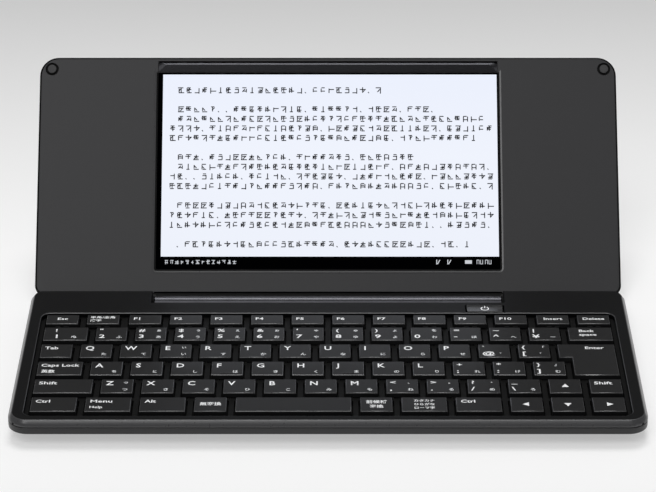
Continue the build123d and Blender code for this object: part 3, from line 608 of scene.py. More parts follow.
@dataclass
class Keyboard:
    """Key caps with their printed legends, and the web between them.

    Sizes are in mm and edge_turn is in degrees. The rows of letters, digits and kana are in parts of the
    cap's depth, kana_across is in parts of its width, and the wide values say how much wider a word is
    than its type.
    """
    finishes: Finishes
    lettering: Lettering
    flare: float = 0.35
    edge: float = 0.1
    edge_turn: float = 25.0
    edge_band: float = 0.2
    letter_em: float = 4.8
    digit_em: float = 4.3
    sign_em: float = 3.6
    kana_em: float = 2.5
    word_em: float = 3.3
    small_em: float = 2.6
    tiny_em: float = 2.3
    wide: float = 1.14
    wide_digit: float = 1.28
    wide_shift: float = 1.32
    wide_end: float = 1.22
    letter_in: float = 1.85
    digit_in: float = 1.25
    sign_in: float = 1.35
    kana_across: float = 0.76
    letter_row: float = 0.3
    digit_row: float = 0.7
    upper_row: float = 0.24
    lower_row: float = 0.75
    word_row: float = 3.4
    unit_middle: float = 6.6
    kana_middle: float = 9.35
    end_middle: float = 6.9
    enter_right: float = 19.5
    arrow_radius: float = 1.75

    LETTERS: ClassVar[dict[str, str]] = {
        "keys_q_to_t": "Qた Wて Eいぃ Rす Tか",
        "keys_y_to_bracket": "Yん Uな Iに Oら Pせ",
        "keys_a_to_g": "Aち Sと Dし Fは Gき",
        "keys_h_to_bracket": "Hく Jま Kの Lり",
        "keys_z_to_b": "Zつっ Xさ Cそ Vひ Bこ",
        "keys_n_to_backslash": "Nみ Mも",
    }
    SIGNS: ClassVar[dict[str, tuple[int, tuple[str, ...]]]] = {
        "keys_2_to_6": (0, ('2"ふ', "3#あぁ", "4$うぅ", "5%えぇ", "6&おぉ")),
        "keys_7_to_yen": (0, ("7'やゃ", "8(ゆゅ", "9)よょ", "0 わを", "-=ほ", "^~へ", "¥|ー")),
        "keys_y_to_bracket": (5, ("@`゛", "[{゜「")),
        "keys_h_to_bracket": (4, (";+れ", ":*け", "]}む」")),
        "keys_n_to_backslash": (2, (",<ね、", ".>る。", "/?め・", "\\_ろ")),
    }
    COUNTS: ClassVar[dict[str, int]] = {
        "keys_z_to_b": 5, "keys_n_to_backslash": 6,
        "keys_a_to_g": 5, "keys_h_to_bracket": 7,
        "keys_q_to_t": 5, "keys_y_to_bracket": 7,
        "keys_2_to_6": 5, "keys_7_to_yen": 7,
        "keys_function": 10,
    }

    def tops(self, node: str) -> list[KeyTop]:
        """Tops of the caps in a node, from the left.

        Args:
            node: The node of one cap or of a group.

        Returns:
            One top for each cap.
        """
        low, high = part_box(node)
        plain = "key_esc" if node == "keys_function" else "key_tab"
        plain_low, plain_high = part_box(plain)
        count = self.COUNTS.get(node, 1)
        width = (plain_high.x - plain_low.x) if count > 1 else high.x - low.x
        pitch = (high.x - low.x - width) / max(1, count - 1)
        flare = self.flare * MM
        depth = (plain_high.y - plain_low.y if count > 1 else high.y - low.y) - 2 * flare
        return [KeyTop(low.x + i * pitch + flare, high.y - flare, width - 2 * flare, depth, plain_high.z)
                for i in range(count)]

    def kana_marks(self, kana: str, top: KeyTop) -> list[Mark]:
        """Set kana along the right of a key.

        Args:
            kana: The kana in the lower corner and the one in the upper corner, if there is one.
            top: The key's top.

        Returns:
            The marks.
        """
        width, depth = top.width / MM, top.depth / MM
        rows = (self.lower_row * depth, self.upper_row * depth)
        return [Mark(sign, self.kana_across * width, row, self.kana_em, Align.CENTRE, True)
                for sign, row in zip(kana, rows)]

    def letter_marks(self, key: str, top: KeyTop) -> list[Mark]:
        """Set the marks of a letter key.

        Args:
            key: The letter, for the upper left, and its kana.
            top: The key's top.

        Returns:
            The marks.
        """
        depth = top.depth / MM
        return [Mark(key[0], self.letter_in, self.letter_row * depth, self.letter_em),
                *self.kana_marks(key[1:], top)]

    def sign_marks(self, key: str, top: KeyTop) -> list[Mark]:
        """Set the marks of a digit or sign key.

        Args:
            key: The plain sign, for the lower left, the shifted one above it or a blank, and the kana.
            top: The key's top.

        Returns:
            The marks.
        """
        depth = top.depth / MM
        wide = self.wide_digit
        marks = [Mark(key[0], self.digit_in, self.digit_row * depth, self.digit_em, stretch=wide),
                 Mark(key[1], self.sign_in, self.upper_row * depth, self.sign_em, stretch=wide),
                 *self.kana_marks(key[2:], top)]
        return [m for m in marks if m.words.strip()]

    def word_marks(self) -> dict[str, list[Mark]]:
        """Set the marks of every key that carries words.

        Returns:
            The marks, by node.
        """
        em, small, tiny = self.word_em, self.small_em, self.tiny_em
        wide, shift, end = self.wide, self.wide_shift, self.wide_end
        row, kana, centre = self.word_row, self.kana_middle, Align.CENTRE
        return {
            "key_tab": [Mark("Tab", 1.6, row, em, stretch=wide)],
            "key_caps": [Mark("Caps Lock", 1.3, row, em, stretch=wide), Mark("英数", 1.7, 8.7, 2.9)],
            "key_shift_left": [Mark("Shift", 1.7, row, em, stretch=shift)],
            "key_shift_right": [Mark("Shift", 1.7, row, em, stretch=shift)],
            "key_ctrl_left": [Mark("Ctrl", 1.7, row, em, stretch=wide)],
            "key_ctrl_right": [Mark("Ctrl", 1.9, row, em, stretch=wide)],
            "key_menu": [Mark("Menu", 1.7, row, em, stretch=1.27),
                         Mark("Help", 1.7, 8.3, small, stretch=1.1)],
            "key_alt": [Mark("Alt", 1.9, row, em, stretch=wide)],
            "key_one": [Mark("1", 4.2, 8.3, self.digit_em, stretch=1.35),
                        Mark("!", 4.6, 2.9, self.sign_em, stretch=1.25),
                        Mark("ぬ", 13.0, 8.8, self.kana_em, centre, True)],
            "key_backspace": [Mark("Back", 4.4, 3.3, 3.0, stretch=wide),
                              Mark("space", 4.4, 6.7, 3.0, stretch=wide)],
            "key_enter": [Mark("Enter", self.enter_right, 3.3, 3.1, Align.RIGHT, stretch=1.2)],
            "key_esc": [Mark("Esc", self.end_middle, 3.6, 2.9, centre, stretch=end)],
            "key_hankaku": [Mark("半角/全角", 1.2, 2.3, tiny, stretch=1.12),
                            Mark("漢字", 1.2, 5.2, tiny, stretch=1.1)],
            "key_insert": [Mark("Insert", self.end_middle, 3.6, 2.9, centre, stretch=end)],
            "key_delete": [Mark("Delete", self.end_middle, 3.6, 2.9, centre, stretch=end)],
            "key_muhenkan": [Mark("無変換", self.unit_middle, 5.6, 3.0, centre)],
            "key_henkan": [Mark("前候補", self.unit_middle, 3.9, 2.9, centre),
                           Mark("変換", self.unit_middle, 7.7, 2.9, centre)],
            "key_kana": [Mark("カタカナ", kana, 2.9, 2.2, centre), Mark("ひらがな", kana, 5.9, 2.2, centre),
                         Mark("ローマ字", kana, 8.9, 2.2, centre)],
        }

    def arrow(self, shape: bmesh.types.BMesh, top: KeyTop, turn: float) -> None:
        """Print a solid triangle in the middle of a key.

        Args:
            shape: The mesh that gathers the marks.
            top: The key's top.
            turn: Turn of the triangle's tip from straight up, in degrees, anticlockwise.
        """
        film, sunk = self.lettering.film, self.lettering.sunk
        middle = Matrix.Translation((top.width / MM / 2, -top.depth / MM / 2, (film - sunk) / 2))
        spin = Matrix.Rotation(math.radians(turn), 4, "Z")
        bmesh.ops.create_cone(shape, cap_ends=True, segments=3, radius1=self.arrow_radius,
                              radius2=self.arrow_radius, depth=film + sunk,
                              matrix=top.place() @ middle @ spin)

    def legends(self, node: str, marks: list[tuple[KeyTop, Mark]], arrow: float | None = None) -> None:
        """Print a node's legends as one piece that rides with it.

        Args:
            node: The node of the caps.
            marks: Each mark with its key's top.
            arrow: Turn of an arrow on the key, if it has one.
        """
        shape = bmesh.new()
        for top, mark in marks:
            self.lettering.print_word(shape, mark, top.place())
        if arrow is not None:
            self.arrow(shape, self.tops(node)[0], arrow)
        piece = finish_mesh(shape, f"{node}_legend", [self.finishes.ink, self.finishes.ink_thin])
        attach(piece, body_of_node(node))

    def build(self) -> None:
        """Dress the caps and the web, and print every legend."""
        nodes = [n for n in frame["nodes"] if body_of_node(n) == n and n != "power_button"]
        for node in nodes:
            # The caps' upward-sloping edges take the lighter edge finish: a painted highlight.
            soften(node, f"{node}_cap", [self.finishes.keycap, self.finishes.key_edge_highlight], self.edge,
                   angle=self.edge_turn, where=above(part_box(node)[1].z - self.edge_band * MM),
                   pick=slopes_upward)
        marks: dict[str, list[tuple[KeyTop, Mark]]] = {node: [] for node in nodes}
        for node, keys in self.LETTERS.items():
            for top, key in zip(self.tops(node), keys.split()):
                marks[node] += [(top, m) for m in self.letter_marks(key, top)]
        for node, (first, keys) in self.SIGNS.items():
            for top, key in zip(self.tops(node)[first:], keys):
                marks[node] += [(top, m) for m in self.sign_marks(key, top)]
        for i, top in enumerate(self.tops("keys_function")):
            marks["keys_function"].append((top, Mark(f"F{i + 1}", 1.7, 3.5, 3.0, stretch=1.26)))
        for node, words in self.word_marks().items():
            marks[node] += [(self.tops(node)[0], m) for m in words]
        arrows = {"key_up": 0.0, "key_left": 90.0, "key_down": 180.0, "key_right": 270.0}
        for node in nodes:
            if marks[node] or node in arrows:
                self.legends(node, marks[node], arrows.get(node))
        # The web between the keys is drawn near black: painted shade.
        dress(["key_frame", "key_membrane"], self.finishes.web)
        dress(["key_links"], self.finishes.acetal)
        dress(["keyboard_plate"], self.finishes.steel)
        LOG.info("keyboard: %d cap pieces", len(nodes))


# ---------------------------------------------------------------- base
@dataclass
class Base:
    """Lower case, deck, power button and what is inside.

    Sizes are in mm, apart from the gap in the power sign's ring, in degrees, and the place and length of
    its bar, in parts of the ring's radius.
    """
    finishes: Finishes
    lettering: Lettering
    wall: float = 6.0
    rim_width: float = 2.2
    deck_edge: float = 0.3
    deck_band: float = 0.5
    tray_edge: float = 0.3
    button_edge: float = 0.3
    sign_radius: float = 1.6
    sign_line: float = 0.45
    sign_gap: float = 70.0
    sign_bar_at: float = 0.85
    sign_bar_length: float = 0.9
    dish_drop: float = 0.35
    dish_radius: float = 14.7
    well_gap: float = 2.5

    def edges(self) -> FacePick:
        """Make a choice of finish for the deck.

        Returns:
            A choice of number 1 for its rim and the key well's rounded edge, which take the lighter rim finish as
            a painted highlight, and 0 for the rest.
        """
        walls = outer_walls("deck_cover", self.rim_width)
        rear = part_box("keys_function")[1].y + self.well_gap * MM
        return lambda face: int(walls(face) or (slopes_upward(face) and face.calc_center_median().y < rear))

    def power_sign(self) -> None:
        """Print the power sign in the button's dish: a ring with a gap at its top and a short bar in it."""
        low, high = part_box("power_button")
        middle = Vector(((low.x + high.x) / 2, (low.y + high.y) / 2, high.z - self.dish_drop * MM))
        place = Matrix.Translation(middle) @ Matrix.Scale(MM, 4)
        film = self.lettering.film + self.lettering.sunk
        half = self.sign_line / 2
        shape = bmesh.new()
        corners = [shape.verts.new((0, self.sign_radius + r, z)) for r, z in
                   ((-half, 0), (half, 0), (half, film), (-half, film))]
        profile = shape.faces.new(corners)
        gap = math.radians(self.sign_gap)
        bmesh.ops.rotate(shape, verts=shape.verts, cent=(0, 0, 0), matrix=Matrix.Rotation(gap / 2, 3, "Z"))
        bmesh.ops.spin(shape, geom=[profile, *profile.edges, *profile.verts], cent=(0, 0, 0),
                       axis=(0, 0, 1), angle=math.tau - gap, steps=20)
        spot = Matrix.Translation((0, self.sign_radius * self.sign_bar_at, film / 2))
        size = Matrix.Diagonal((self.sign_line, self.sign_radius * self.sign_bar_length, film, 1))
        bmesh.ops.create_cube(shape, size=1.0, matrix=spot @ size)
        bmesh.ops.recalc_face_normals(shape, faces=shape.faces)
        for vert in shape.verts:
            vert.co.z += vert.co.y ** 2 / (2 * self.dish_radius)
        bmesh.ops.transform(shape, matrix=place, verts=shape.verts)
        piece = finish_mesh(shape, "power_sign", [self.finishes.ink])
        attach(piece, "power_button")

    def build(self) -> None:
        """Dress the base."""
        # The deck's rim and the key well's rounded edge take the lighter rim finish: a painted highlight.
        soften("deck_cover", "deck", [self.finishes.deck, self.finishes.rim], self.deck_edge,
               where=above(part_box("deck_cover")[1].z - self.deck_band * MM), pick=self.edges())
        soften("lower_case", "tray", [self.finishes.case], self.tray_edge,
               where=outside("lower_case", self.wall))
        soften("power_button", "power_key", [self.finishes.button], self.button_edge)
        self.power_sign()
        dress(["rubber_feet"], self.finishes.rubber)
        dress(["case_screws", "usb_socket", "card_socket"], self.finishes.steel)
        dress(["hinge_bracket_left", "hinge_bracket_right"], self.finishes.dark_steel)
        dress(["main_board", "power_switch"], self.finishes.board)
        dress(["battery_pack"], self.finishes.foil)
        LOG.info("base: deck, tray, power button and inner parts dressed")


# ---------------------------------------------------------------- lid
@dataclass(frozen=True)
class LidPlane:
    """Inner face of the opened lid; places on it are measured from the hinge axis in millimetres.

    lean is how far the lid leans back from upright, in radians, and drop is how far its face lies behind
    the axis. A face of the back cover whose normal has less than back_turn along out() is its back.
    """
    hinge: Vector
    lean: float
    drop: float = 7.03
    same_plane: float = 0.02
    recess_from: float = 0.1
    recess_to: float = 0.7
    back_turn: float = -0.4
    slot_back: float = 12.5
    slot_top: float = 12.0
    bezel_half: float = 129.6

    @classmethod
    def from_record(cls) -> "LidPlane":
        """Read the hinge's place and opening from the record."""
        joint = next(j for j in frame["joints"] if j["name"] == "lid_hinge")
        return cls(Vector(joint["pos_m"]), math.radians(-joint["range_deg"][0] - 90))

    def up(self) -> Vector:
        """Direction along the lid, from the hinge to its top edge."""
        return Vector((0, math.sin(self.lean), math.cos(self.lean)))

    def out(self) -> Vector:
        """Direction out of the face, towards the typist."""
        return Vector((0, -math.cos(self.lean), math.sin(self.lean)))

    def holds(self, point: Vector) -> bool:
        """Whether a point lies on the face."""
        return abs(self.depth(point) - self.drop) < self.same_plane

    def sunk(self, face: bmesh.types.BMFace) -> int:
        """Choose a finish for a face of the bezel.

        Args:
            face: The face.

        Returns:
            Number 1 for the walls and floors of the bezel's recesses, which take the dark web finish as painted
            shade, 0 for its face and its outside.
        """
        middle = face.calc_center_median()
        low, high = self.drop + self.recess_from, self.drop + self.recess_to
        return int(low < self.depth(middle) < high and abs(middle.x) < self.bezel_half * MM)

    def rim(self, face: bmesh.types.BMFace) -> int:
        """Number 1 for faces of the back cover that look forward or sideways, which take the dark web finish as
        painted shade along the lid's edge, 0 for its back.
        """
        return int(face.normal.dot(self.out()) > self.back_turn)

    def depth(self, point: Vector) -> float:
        """How far a point lies behind the hinge axis, at right angles to the face, in millimetres."""
        return (self.hinge - point).dot(self.out()) / MM

    def clear_of_hinge(self, point: Vector) -> bool:
        """Whether a point lies on the back of the lid or above the hinge's slots."""
        up = (point - self.hinge).dot(self.up())
        return self.depth(point) > self.slot_back or up > self.slot_top * MM

    def place(self) -> Matrix:
        """Turns millimetres across, up and out of the face into metres in place."""
        axes = Matrix((Vector((1, 0, 0)), self.up(), self.out())).transposed().to_4x4()
        return Matrix.Translation(self.hinge - self.drop * MM * self.out()) @ axes @ Matrix.Scale(MM, 4)


@dataclass
class ScreenPage:
    """Lit part of the screen with a page of dark marks and a status line.

    Places and sizes are in mm on the lid: left and right of its middle, up from the hinge axis, and out of
    its face. A mark's strokes are in parts of its size, and turns in degrees.
    """
    MARK_SEED: ClassVar[int] = 7
    STATUS_SEED: ClassVar[int] = 11
    # Choices for a mark: heights of its level strokes, places of its upright ones, their lengths and
    # shifts, and how often it has a slanting one.
    LEVELS: ClassVar[tuple[float, ...]] = (-0.38, -0.13, 0.12, 0.38)
    SIDES: ClassVar[tuple[float, ...]] = (-0.3, 0.0, 0.3)
    LEVEL_LENGTH: ClassVar[tuple[float, float]] = (0.45, 0.9)
    SIDE_LENGTH: ClassVar[tuple[float, float]] = (0.5, 0.9)
    SHIFT: ClassVar[float] = 0.08
    SIDE_SHIFT: ClassVar[float] = 0.1
    SLANTS: ClassVar[tuple[float, float]] = (48.0, -48.0)
    SLANT_SHIFT: ClassVar[float] = 0.2
    SLANT_LENGTH: ClassVar[float] = 0.55
    SLANT_SHARE: ClassVar[float] = 0.6

    finishes: Finishes
    plane: LidPlane
    left: float = -75.3
    right: float = 77.0
    low: float = 23.62
    high: float = 109.1
    face: float = -0.58
    film: float = 0.02
    margin: float = 2.9
    pitch: float = 3.6
    line_pitch: float = 4.52
    first_line: float = 101.6
    glyph: float = 3.1
    stroke: float = 0.44
    # Marks in each line of the page from its top, none in a blank one, and how many places it is set in.
    lines: tuple[int, ...] = (26, 0, 33, 39, 41, 39, 0, 30, 40, 41, 41, 0, 40, 41, 41, 0, 37)
    indents: tuple[int, ...] = (1, 0, 1, 1, 0, 0, 0, 1, 1, 0, 0, 0, 1, 0, 0, 0, 1)
    patterns: int = 28
    # How often a comma stands for a mark, and its place across and up, its length, width and turn.
    comma_share: float = 0.05
    comma: tuple[float, float, float, float, float] = (-0.9, -1.1, 0.7, 0.4, -45)
    status_up: float = 21.1
    status_marks: int = 14
    status_margin: float = 2.6
    status_pitch: float = 2.35
    status_width: float = 1.2
    status_height: float = 2.0
    status_stroke: float = 0.26
    icons: tuple[float, ...] = (48.9, 53.9)
    icon_height: float = 2.2
    icon_stroke: float = 0.4
    icon_width: float = 0.9
    icon_turn: float = 60.0
    # Place, length and width of the battery's bar.
    battery: tuple[float, float, float] = (63.2, 3.1, 1.6)
    clock: tuple[float, ...] = (67.5, 69.1, 71.3, 72.9)
    clock_height: float = 1.9
    clock_half: float = 0.5
    clock_bar: float = 0.9

    def bar(self, shape: bmesh.types.BMesh, x: float, up: float, length: float, width: float, turn: float,
            film: int = 1) -> None:
        """Add one straight stroke.

        Args:
            shape: The mesh that gathers the strokes, in millimetres on the lid.
            x: Its middle, across the lid.
            up: Its middle, along the lid.
            length: Its length.
            width: Its width.
            turn: Its turn from level, in degrees.
            film: How many films thick it stands.
        """
        thick = self.film * film
        size = Matrix.Diagonal((length, width, thick, 1))
        spot = Matrix.Translation((x, up, self.face + thick / 2))
        spin = Matrix.Rotation(math.radians(turn), 4, "Z")
        bmesh.ops.create_cube(shape, size=1.0, matrix=spot @ spin @ size)

    def make_pattern(self, chance: random.Random) -> list[tuple[float, float, float, float]]:
        """Draw up one mark that stands for a character: a few strokes that spell nothing.

        Args:
            chance: The seeded source of choices.

        Returns:
            For each stroke its middle, length and turn, in parts of the mark's size.
        """
        strokes = []
        for level in chance.sample(self.LEVELS, chance.choice((1, 2, 3))):
            aside = chance.uniform(-self.SHIFT, self.SHIFT)
            strokes.append((aside, level, chance.uniform(*self.LEVEL_LENGTH), 0.0))
        for side in chance.sample(self.SIDES, chance.choice((1, 1, 2))):
            level = chance.uniform(-self.SIDE_SHIFT, self.SIDE_SHIFT)
            strokes.append((side, level, chance.uniform(*self.SIDE_LENGTH), 90.0))
        if chance.random() < self.SLANT_SHARE:
            aside = chance.uniform(-self.SLANT_SHIFT, self.SLANT_SHIFT)
            level = chance.uniform(-self.SLANT_SHIFT, self.SIDE_SHIFT)
            strokes.append((aside, level, self.SLANT_LENGTH, chance.choice(self.SLANTS)))
        return strokes

    def write_marks(self, shape: bmesh.types.BMesh) -> None:
        """Lay the page's lines of marks.

        Args:
            shape: The mesh that gathers the strokes.
        """
        chance = random.Random(self.MARK_SEED)
        patterns = [self.make_pattern(chance) for _ in range(self.patterns)]
        start = self.left + self.margin
        for row, (count, indent) in enumerate(zip(self.lines, self.indents)):
            up = self.first_line - row * self.line_pitch
            for column in range(count):
                x = start + (column + indent + 0.5) * self.pitch
                if chance.random() < self.comma_share:
                    aside, level, length, width, turn = self.comma
                    self.bar(shape, x + aside, up + level, length, width, turn)
                    continue
                for aside, level, length, turn in chance.choice(patterns):
                    self.bar(shape, x + aside * self.glyph, up + level * self.glyph, length * self.glyph,
                             self.stroke, turn)

    def write_status(self, shape: bmesh.types.BMesh) -> None:
        """Lay the small pale marks of the status line: a row of marks, two icons, a battery and a clock.

        Args:
            shape: The mesh that gathers the strokes.
        """
        chance = random.Random(self.STATUS_SEED)
        line, stroke = self.status_up, self.status_stroke
        for i in range(self.status_marks):
            x = self.left + self.status_margin + i * self.status_pitch
            for aside, level, length, turn in self.make_pattern(chance):
                self.bar(shape, x + aside * self.status_width, line + level * self.status_height,
                         length * self.status_height, stroke, turn, 2)
        for x in self.icons:
            self.bar(shape, x, line, self.icon_height, self.icon_stroke, 90, 2)
            self.bar(shape, x + self.icon_width, line, self.icon_height, self.icon_stroke,
                     self.icon_turn, 2)
        battery, length, width = self.battery
        self.bar(shape, battery, line, length, width, 0, 2)
        for i, x in enumerate(self.clock):
            self.bar(shape, x - self.clock_half, line, self.clock_height, stroke, 90, 2)
            self.bar(shape, x + self.clock_half, line, self.clock_height, stroke, 90, 2)
            level = line + self.clock_bar * (1 - 2 * (i % 2))
            self.bar(shape, x, level, 2 * self.clock_half, stroke, 0, 2)

    def make_piece(self, shape: bmesh.types.BMesh, name: str, material: bpy.types.Material) -> None:
        """Put a shape drawn on the lid in its place and let it ride.

        Args:
            shape: The mesh in millimetres on the lid.
            name: The piece's name.
            material: Its finish.
        """
        bmesh.ops.transform(shape, matrix=self.plane.place(), verts=shape.verts)
        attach(finish_mesh(shape, name, [material]), "lid")

    def build(self) -> None:
        """Build the lit page, its marks and the status line."""
        page = bmesh.new()
        middle = Matrix.Translation(((self.left + self.right) / 2, (self.low + self.high) / 2,
                                     self.face - self.film))
        size = Matrix.Diagonal((self.right - self.left, self.high - self.low, 2 * self.film, 1))
        bmesh.ops.create_cube(page, size=1.0, matrix=middle @ size)
        self.make_piece(page, "screen_page", self.finishes.page)
        marks = bmesh.new()
        self.write_marks(marks)
        self.make_piece(marks, "screen_marks", self.finishes.dark_mark)
        status = bmesh.new()
        self.write_status(status)
        self.make_piece(status, "screen_status", self.finishes.lit_mark)
        LOG.info("screen: page, marks and status line")


@dataclass
class Lid:
    """Screen lid with its hinge.

    Sizes are in mm and turns in degrees. Places on the lid are measured from the hinge axis and its middle.
    """
    finishes: Finishes
    plane: LidPlane
    bezel_edge: float = 0.15
    cover_edge: float = 0.2
    barrel_edge: float = 0.3
    strip_edge: float = 0.03
    bumper_edge: float = 0.1
    edge_turn: float = 40.0
    shade_disc_bore: float = 1.35
    shade_disc_radius: float = 3.6
    shade_disc_thick: float = 0.6
    shade_disc_gap: float = 0.1
    opening_half: float = 77.5
    opening_foot: float = 17.6
    lip_top: float = 111.2
    lip_seat: float = 0.75
    lip_slope: float = 0.75
    lip_height: float = 0.18
    lip_depth: float = 0.1
    lip_corner: float = 2.0
    lip_lift: float = 0.02
    lip_turn: float = 5.0

    def lip(self) -> None:
        """Lay the lip along the sides and foot of the screen's opening.

        It has a seat next to the opening in the dark web finish, which is painted shade, and outside it a slope in
        the lighter rim finish, which is a painted highlight.
        """
        half = self.opening_half + self.lip_seat + self.lip_slope
        foot = self.opening_foot - self.lip_seat - self.lip_slope
        shape = bmesh.new()
        corners = [shape.verts.new((x, up, 0)) for x, up in (
            (-half, self.lip_top), (-half, foot), (half, foot), (half, self.lip_top))]
        shape.faces.new(corners)
        bmesh.ops.bevel(shape, geom=corners[1:3], offset=self.lip_corner, offset_type="OFFSET",
                        affect="VERTICES", segments=6, profile=0.5, material=-1, clamp_overlap=False)
        shape.normal_update()
        slope = bmesh.ops.inset_region(shape, faces=shape.faces[:], thickness=self.lip_slope,
                                       use_boundary=True, use_even_offset=True)
        for face in slope["faces"]:
            face.material_index = 1
        field = max(shape.faces, key=lambda face: face.calc_area())
        bmesh.ops.inset_region(shape, faces=[field], thickness=self.lip_seat, use_even_offset=True)
        for vert in shape.verts:
            if vert.is_boundary:
                vert.co.z = self.lip_height
        field = max(shape.faces, key=lambda face: face.calc_area())
        end = self.lip_top - 2 * self.lip_corner
        over = [face for face in shape.faces if face.calc_center_median().y > end]
        bmesh.ops.delete(shape, geom=[field, *over], context="FACES")
        under = bmesh.ops.extrude_face_region(shape, geom=shape.faces[:])["geom"]
        bmesh.ops.translate(shape, verts=[g for g in under if isinstance(g, bmesh.types.BMVert)],
                            vec=(0, 0, -self.lip_depth))
        bmesh.ops.recalc_face_normals(shape, faces=shape.faces)
        place = self.plane.place() @ Matrix.Translation((0, 0, self.lip_lift))
        bmesh.ops.transform(shape, matrix=place, verts=shape.verts)
        lip = finish_mesh(shape, "screen_lip", [self.finishes.web, self.finishes.rim], self.lip_turn)
        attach(lip, "lid")

    def gap_shade_discs(self) -> None:
        """Turn two black discs in the gaps between the barrel's ends and the case: painted shade that stands for
        the dark gaps there.
        """
        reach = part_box("hinge_barrel")[1].x / MM + self.shade_disc_gap
        shape = bmesh.new()
        for side in (-1, 1):
            corners = [shape.verts.new((side * (reach + x), r, 0)) for x, r in (
                (0, self.shade_disc_bore), (self.shade_disc_thick, self.shade_disc_bore),
                (self.shade_disc_thick, self.shade_disc_radius), (0, self.shade_disc_radius))]
            profile = shape.faces.new(corners)
            bmesh.ops.spin(shape, geom=[profile, *profile.edges, *profile.verts], cent=(0, 0, 0),
                           axis=(1, 0, 0), angle=math.tau, steps=32, use_merge=True)
        bmesh.ops.recalc_face_normals(shape, faces=shape.faces)
        place = Matrix.Translation(self.plane.hinge) @ Matrix.Scale(MM, 4)
        bmesh.ops.transform(shape, matrix=place, verts=shape.verts)
        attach(finish_mesh(shape, "hinge_gap_shade_discs", [self.finishes.web]), "base")

    def build(self) -> None:
        """Dress the lid and build its screen."""
        # The bezel's lighter finish is a painted sheen, and its recesses take the dark web finish as painted
        # shade.
        soften("lid_bezel", "bezel", [self.finishes.bezel, self.finishes.web], self.bezel_edge,
               where=self.plane.holds, pick=self.plane.sunk)
        # The back cover's forward and side faces take the dark web finish: painted shade along the lid's edge.
        soften("lid_back_cover", "lid_back", [self.finishes.case, self.finishes.web], self.cover_edge,
               where=self.plane.clear_of_hinge, pick=self.plane.rim)
        soften("hinge_barrel", "barrel", [self.finishes.barrel], self.barrel_edge, angle=self.edge_turn)
        # The strip's level faces take the lighter barrel finish, a painted highlight; the darker strip finish on
        # its slopes is painted shade.
        soften("grip_strip", "strip", [self.finishes.strip, self.finishes.barrel], self.strip_edge,
               pick=faces_up)
        soften("lid_bumpers", "bumpers", [self.finishes.rubber], self.bumper_edge, angle=self.edge_turn)
        dress(["lcd_panel"], self.finishes.mask)
        dress(["lcd_backlight"], self.finishes.tray)
        dress(["screen_cable"], self.finishes.film)
        dress(["hinge_leaf_left", "hinge_leaf_right"], self.finishes.dark_steel)
        dress(["lid_screws", "lid_magnet"], self.finishes.steel)
        # Two black discs in the barrel's end gaps: painted shade.
        self.gap_shade_discs()
        self.lip()
        ScreenPage(self.finishes, self.plane).build()
        LOG.info("lid: bezel, back, barrel, strip, bumpers, washers and lip dressed")


# ---------------------------------------------------------------- studio
@dataclass(frozen=True)
class Softbox:
    """A far soft lamp: the direction it stands in and how wide it looks, in degrees, and its strength."""
    name: str
    azimuth: float
    elevation: float
    strength: float
    spread: float

    def make(self) -> None:
        """Hang the lamp."""
        lamp = bpy.data.lights.new(self.name, "SUN")
        lamp.energy = self.strength
        lamp.angle = math.radians(self.spread)
        holder = bpy.data.objects.new(self.name, lamp)
        azimuth, elevation = math.radians(self.azimuth), math.radians(self.elevation)
        level = math.cos(elevation)
        toward = Vector((math.sin(azimuth) * level, -math.cos(azimuth) * level, math.sin(elevation)))
        holder.rotation_mode = "QUATERNION"
        holder.rotation_quaternion = toward.to_track_quat("Z", "Y")
        bpy.context.scene.collection.objects.link(holder)


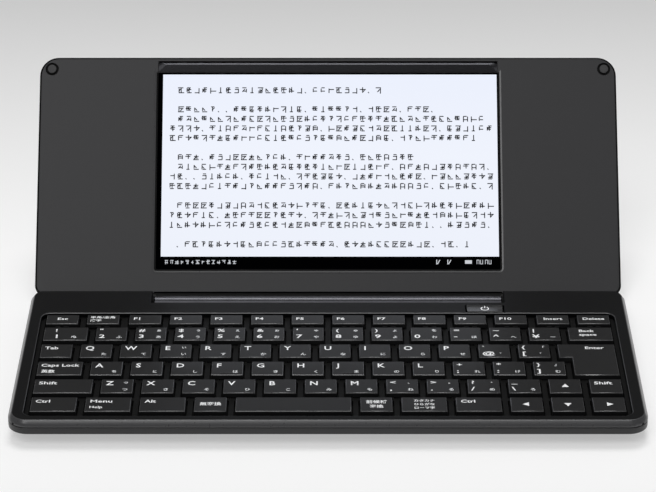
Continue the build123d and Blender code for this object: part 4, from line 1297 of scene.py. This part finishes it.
@dataclass
class Studio:
    """Pale floor, soft lamps and the camera.

    The lens and its sensor are in mm, the tilt from straight down in degrees, and the rest in metres, apart
    from the room's own light and the share of the floor that glows by itself.
    """
    floor_half: float = 6.0
    ambient: float = 0.32
    lift: float = 0.42
    lens: float = 157.59
    sensor: float = 36.0
    tilt: float = 63.813
    back: float = 1.01986
    height: float = 0.59296

    # Seamless paper: matte, palest under the object and greyer behind it; the fall to grey behind is painted light
    # falloff. Places along Y in metres.
    TONES: ClassVar[tuple[tuple[float, str], ...]] = (
        (-0.16, "#f9f9f9"), (-0.09, "#ffffff"), (0.08, "#ffffff"), (0.39, "#d0d0d0"), (0.9, "#b9b9b9"))

    def paper(self) -> bpy.types.Material:
        """Make the floor's material, which shows its pale tone to the camera and takes a shadow.

        Returns:
            The material.
        """
        material = blank_material("seamless_paper_pale")
        tree = material.node_tree
        place = add_node(tree, "ShaderNodeTexCoord")
        axes = add_node(tree, "ShaderNodeSeparateXYZ", inputs={0: place.outputs["Object"]})
        low, high = self.TONES[0][0], self.TONES[-1][0]
        along = add_node(tree, "ShaderNodeMapRange",
                         inputs={"Value": axes.outputs["Y"], "From Min": low, "From Max": high})
        ramp = add_node(tree, "ShaderNodeValToRGB", inputs={"Fac": along.outputs["Result"]})
        stops = ramp.color_ramp.elements
        stops[0].color = hex_colour(self.TONES[0][1])
        stops[1].color = hex_colour(self.TONES[-1][1])
        for y, code in self.TONES[1:-1]:
            stops.new((y - low) / (high - low)).color = hex_colour(code)
        shader = add_node(tree, "ShaderNodeBsdfPrincipled", inputs={
            "Base Color": ramp.outputs["Color"], "Roughness": 0.9, "Specular IOR Level": 0.1})
        glow = add_node(tree, "ShaderNodeEmission",
                        inputs={"Color": ramp.outputs["Color"], "Strength": 1.0})
        rays = add_node(tree, "ShaderNodeLightPath")
        seen = add_node(tree, "ShaderNodeMath", {"operation": "ADD"},
                        {0: rays.outputs["Is Camera Ray"], 1: rays.outputs["Is Glossy Ray"]})
        clear = add_node(tree, "ShaderNodeMath", {"operation": "ADD", "use_clamp": True},
                         {0: seen.outputs[0], 1: rays.outputs["Is Transmission Ray"]})
        share = add_node(tree, "ShaderNodeMath", {"operation": "MULTIPLY"},
                         {0: clear.outputs[0], 1: self.lift})
        both = add_node(tree, "ShaderNodeMixShader", inputs={
            0: share.outputs[0], 1: shader.outputs["BSDF"], 2: glow.outputs["Emission"]})
        add_node(tree, "ShaderNodeOutputMaterial", inputs={"Surface": both.outputs["Shader"]})
        return material

    def floor(self) -> None:
        """Lay the floor under the feet."""
        shape = bmesh.new()
        bmesh.ops.create_grid(shape, x_segments=1, y_segments=1, size=self.floor_half)
        finish_mesh(shape, "floor", [self.paper()])

    def lamps(self) -> None:
        """Hang the lamps and set the room's own light."""
        Softbox("overhead_softbox", azimuth=180, elevation=72, strength=1.2, spread=25).make()
        Softbox("front_softbox", azimuth=-20, elevation=56, strength=0.85, spread=36).make()
        world = bpy.data.worlds.new("studio_room")
        world.use_nodes = True
        world.node_tree.nodes.clear()
        glow = add_node(world.node_tree, "ShaderNodeBackground",
                        inputs={"Color": hex_colour("#ffffff"), "Strength": self.ambient})
        add_node(world.node_tree, "ShaderNodeOutputWorld", inputs={"Surface": glow.outputs["Background"]})
        bpy.context.scene.world = world

    def camera(self) -> None:
        """Stand the camera in front of the keyboard, above it."""
        lens = bpy.data.cameras.new("camera")
        lens.lens = self.lens
        lens.sensor_width = self.sensor
        camera = bpy.data.objects.new("camera", lens)
        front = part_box("lower_case")[0].y
        camera.location = (0.0, front - self.back, self.height)
        camera.rotation_euler = (math.radians(self.tilt), 0.0, 0.0)
        bpy.context.scene.collection.objects.link(camera)
        bpy.context.scene.camera = camera

    def build(self) -> None:
        """Set up the studio."""
        self.camera()
        self.floor()
        self.lamps()
        bpy.context.scene.view_settings.view_transform = "Standard"
        LOG.info("studio: camera, floor and lamps")


def main() -> None:
    """Build and dress everything in order."""
    logging.basicConfig(level=logging.INFO, format="%(name)s: %(message)s")
    plane = LidPlane.from_record()
    finishes = Finishes(plane.up(), plane.hinge)
    lettering = Lettering()
    Studio().build()
    Base(finishes, lettering).build()
    Keyboard(finishes, lettering).build()
    Lid(finishes, plane).build()


if __name__ == "__main__":
    main()
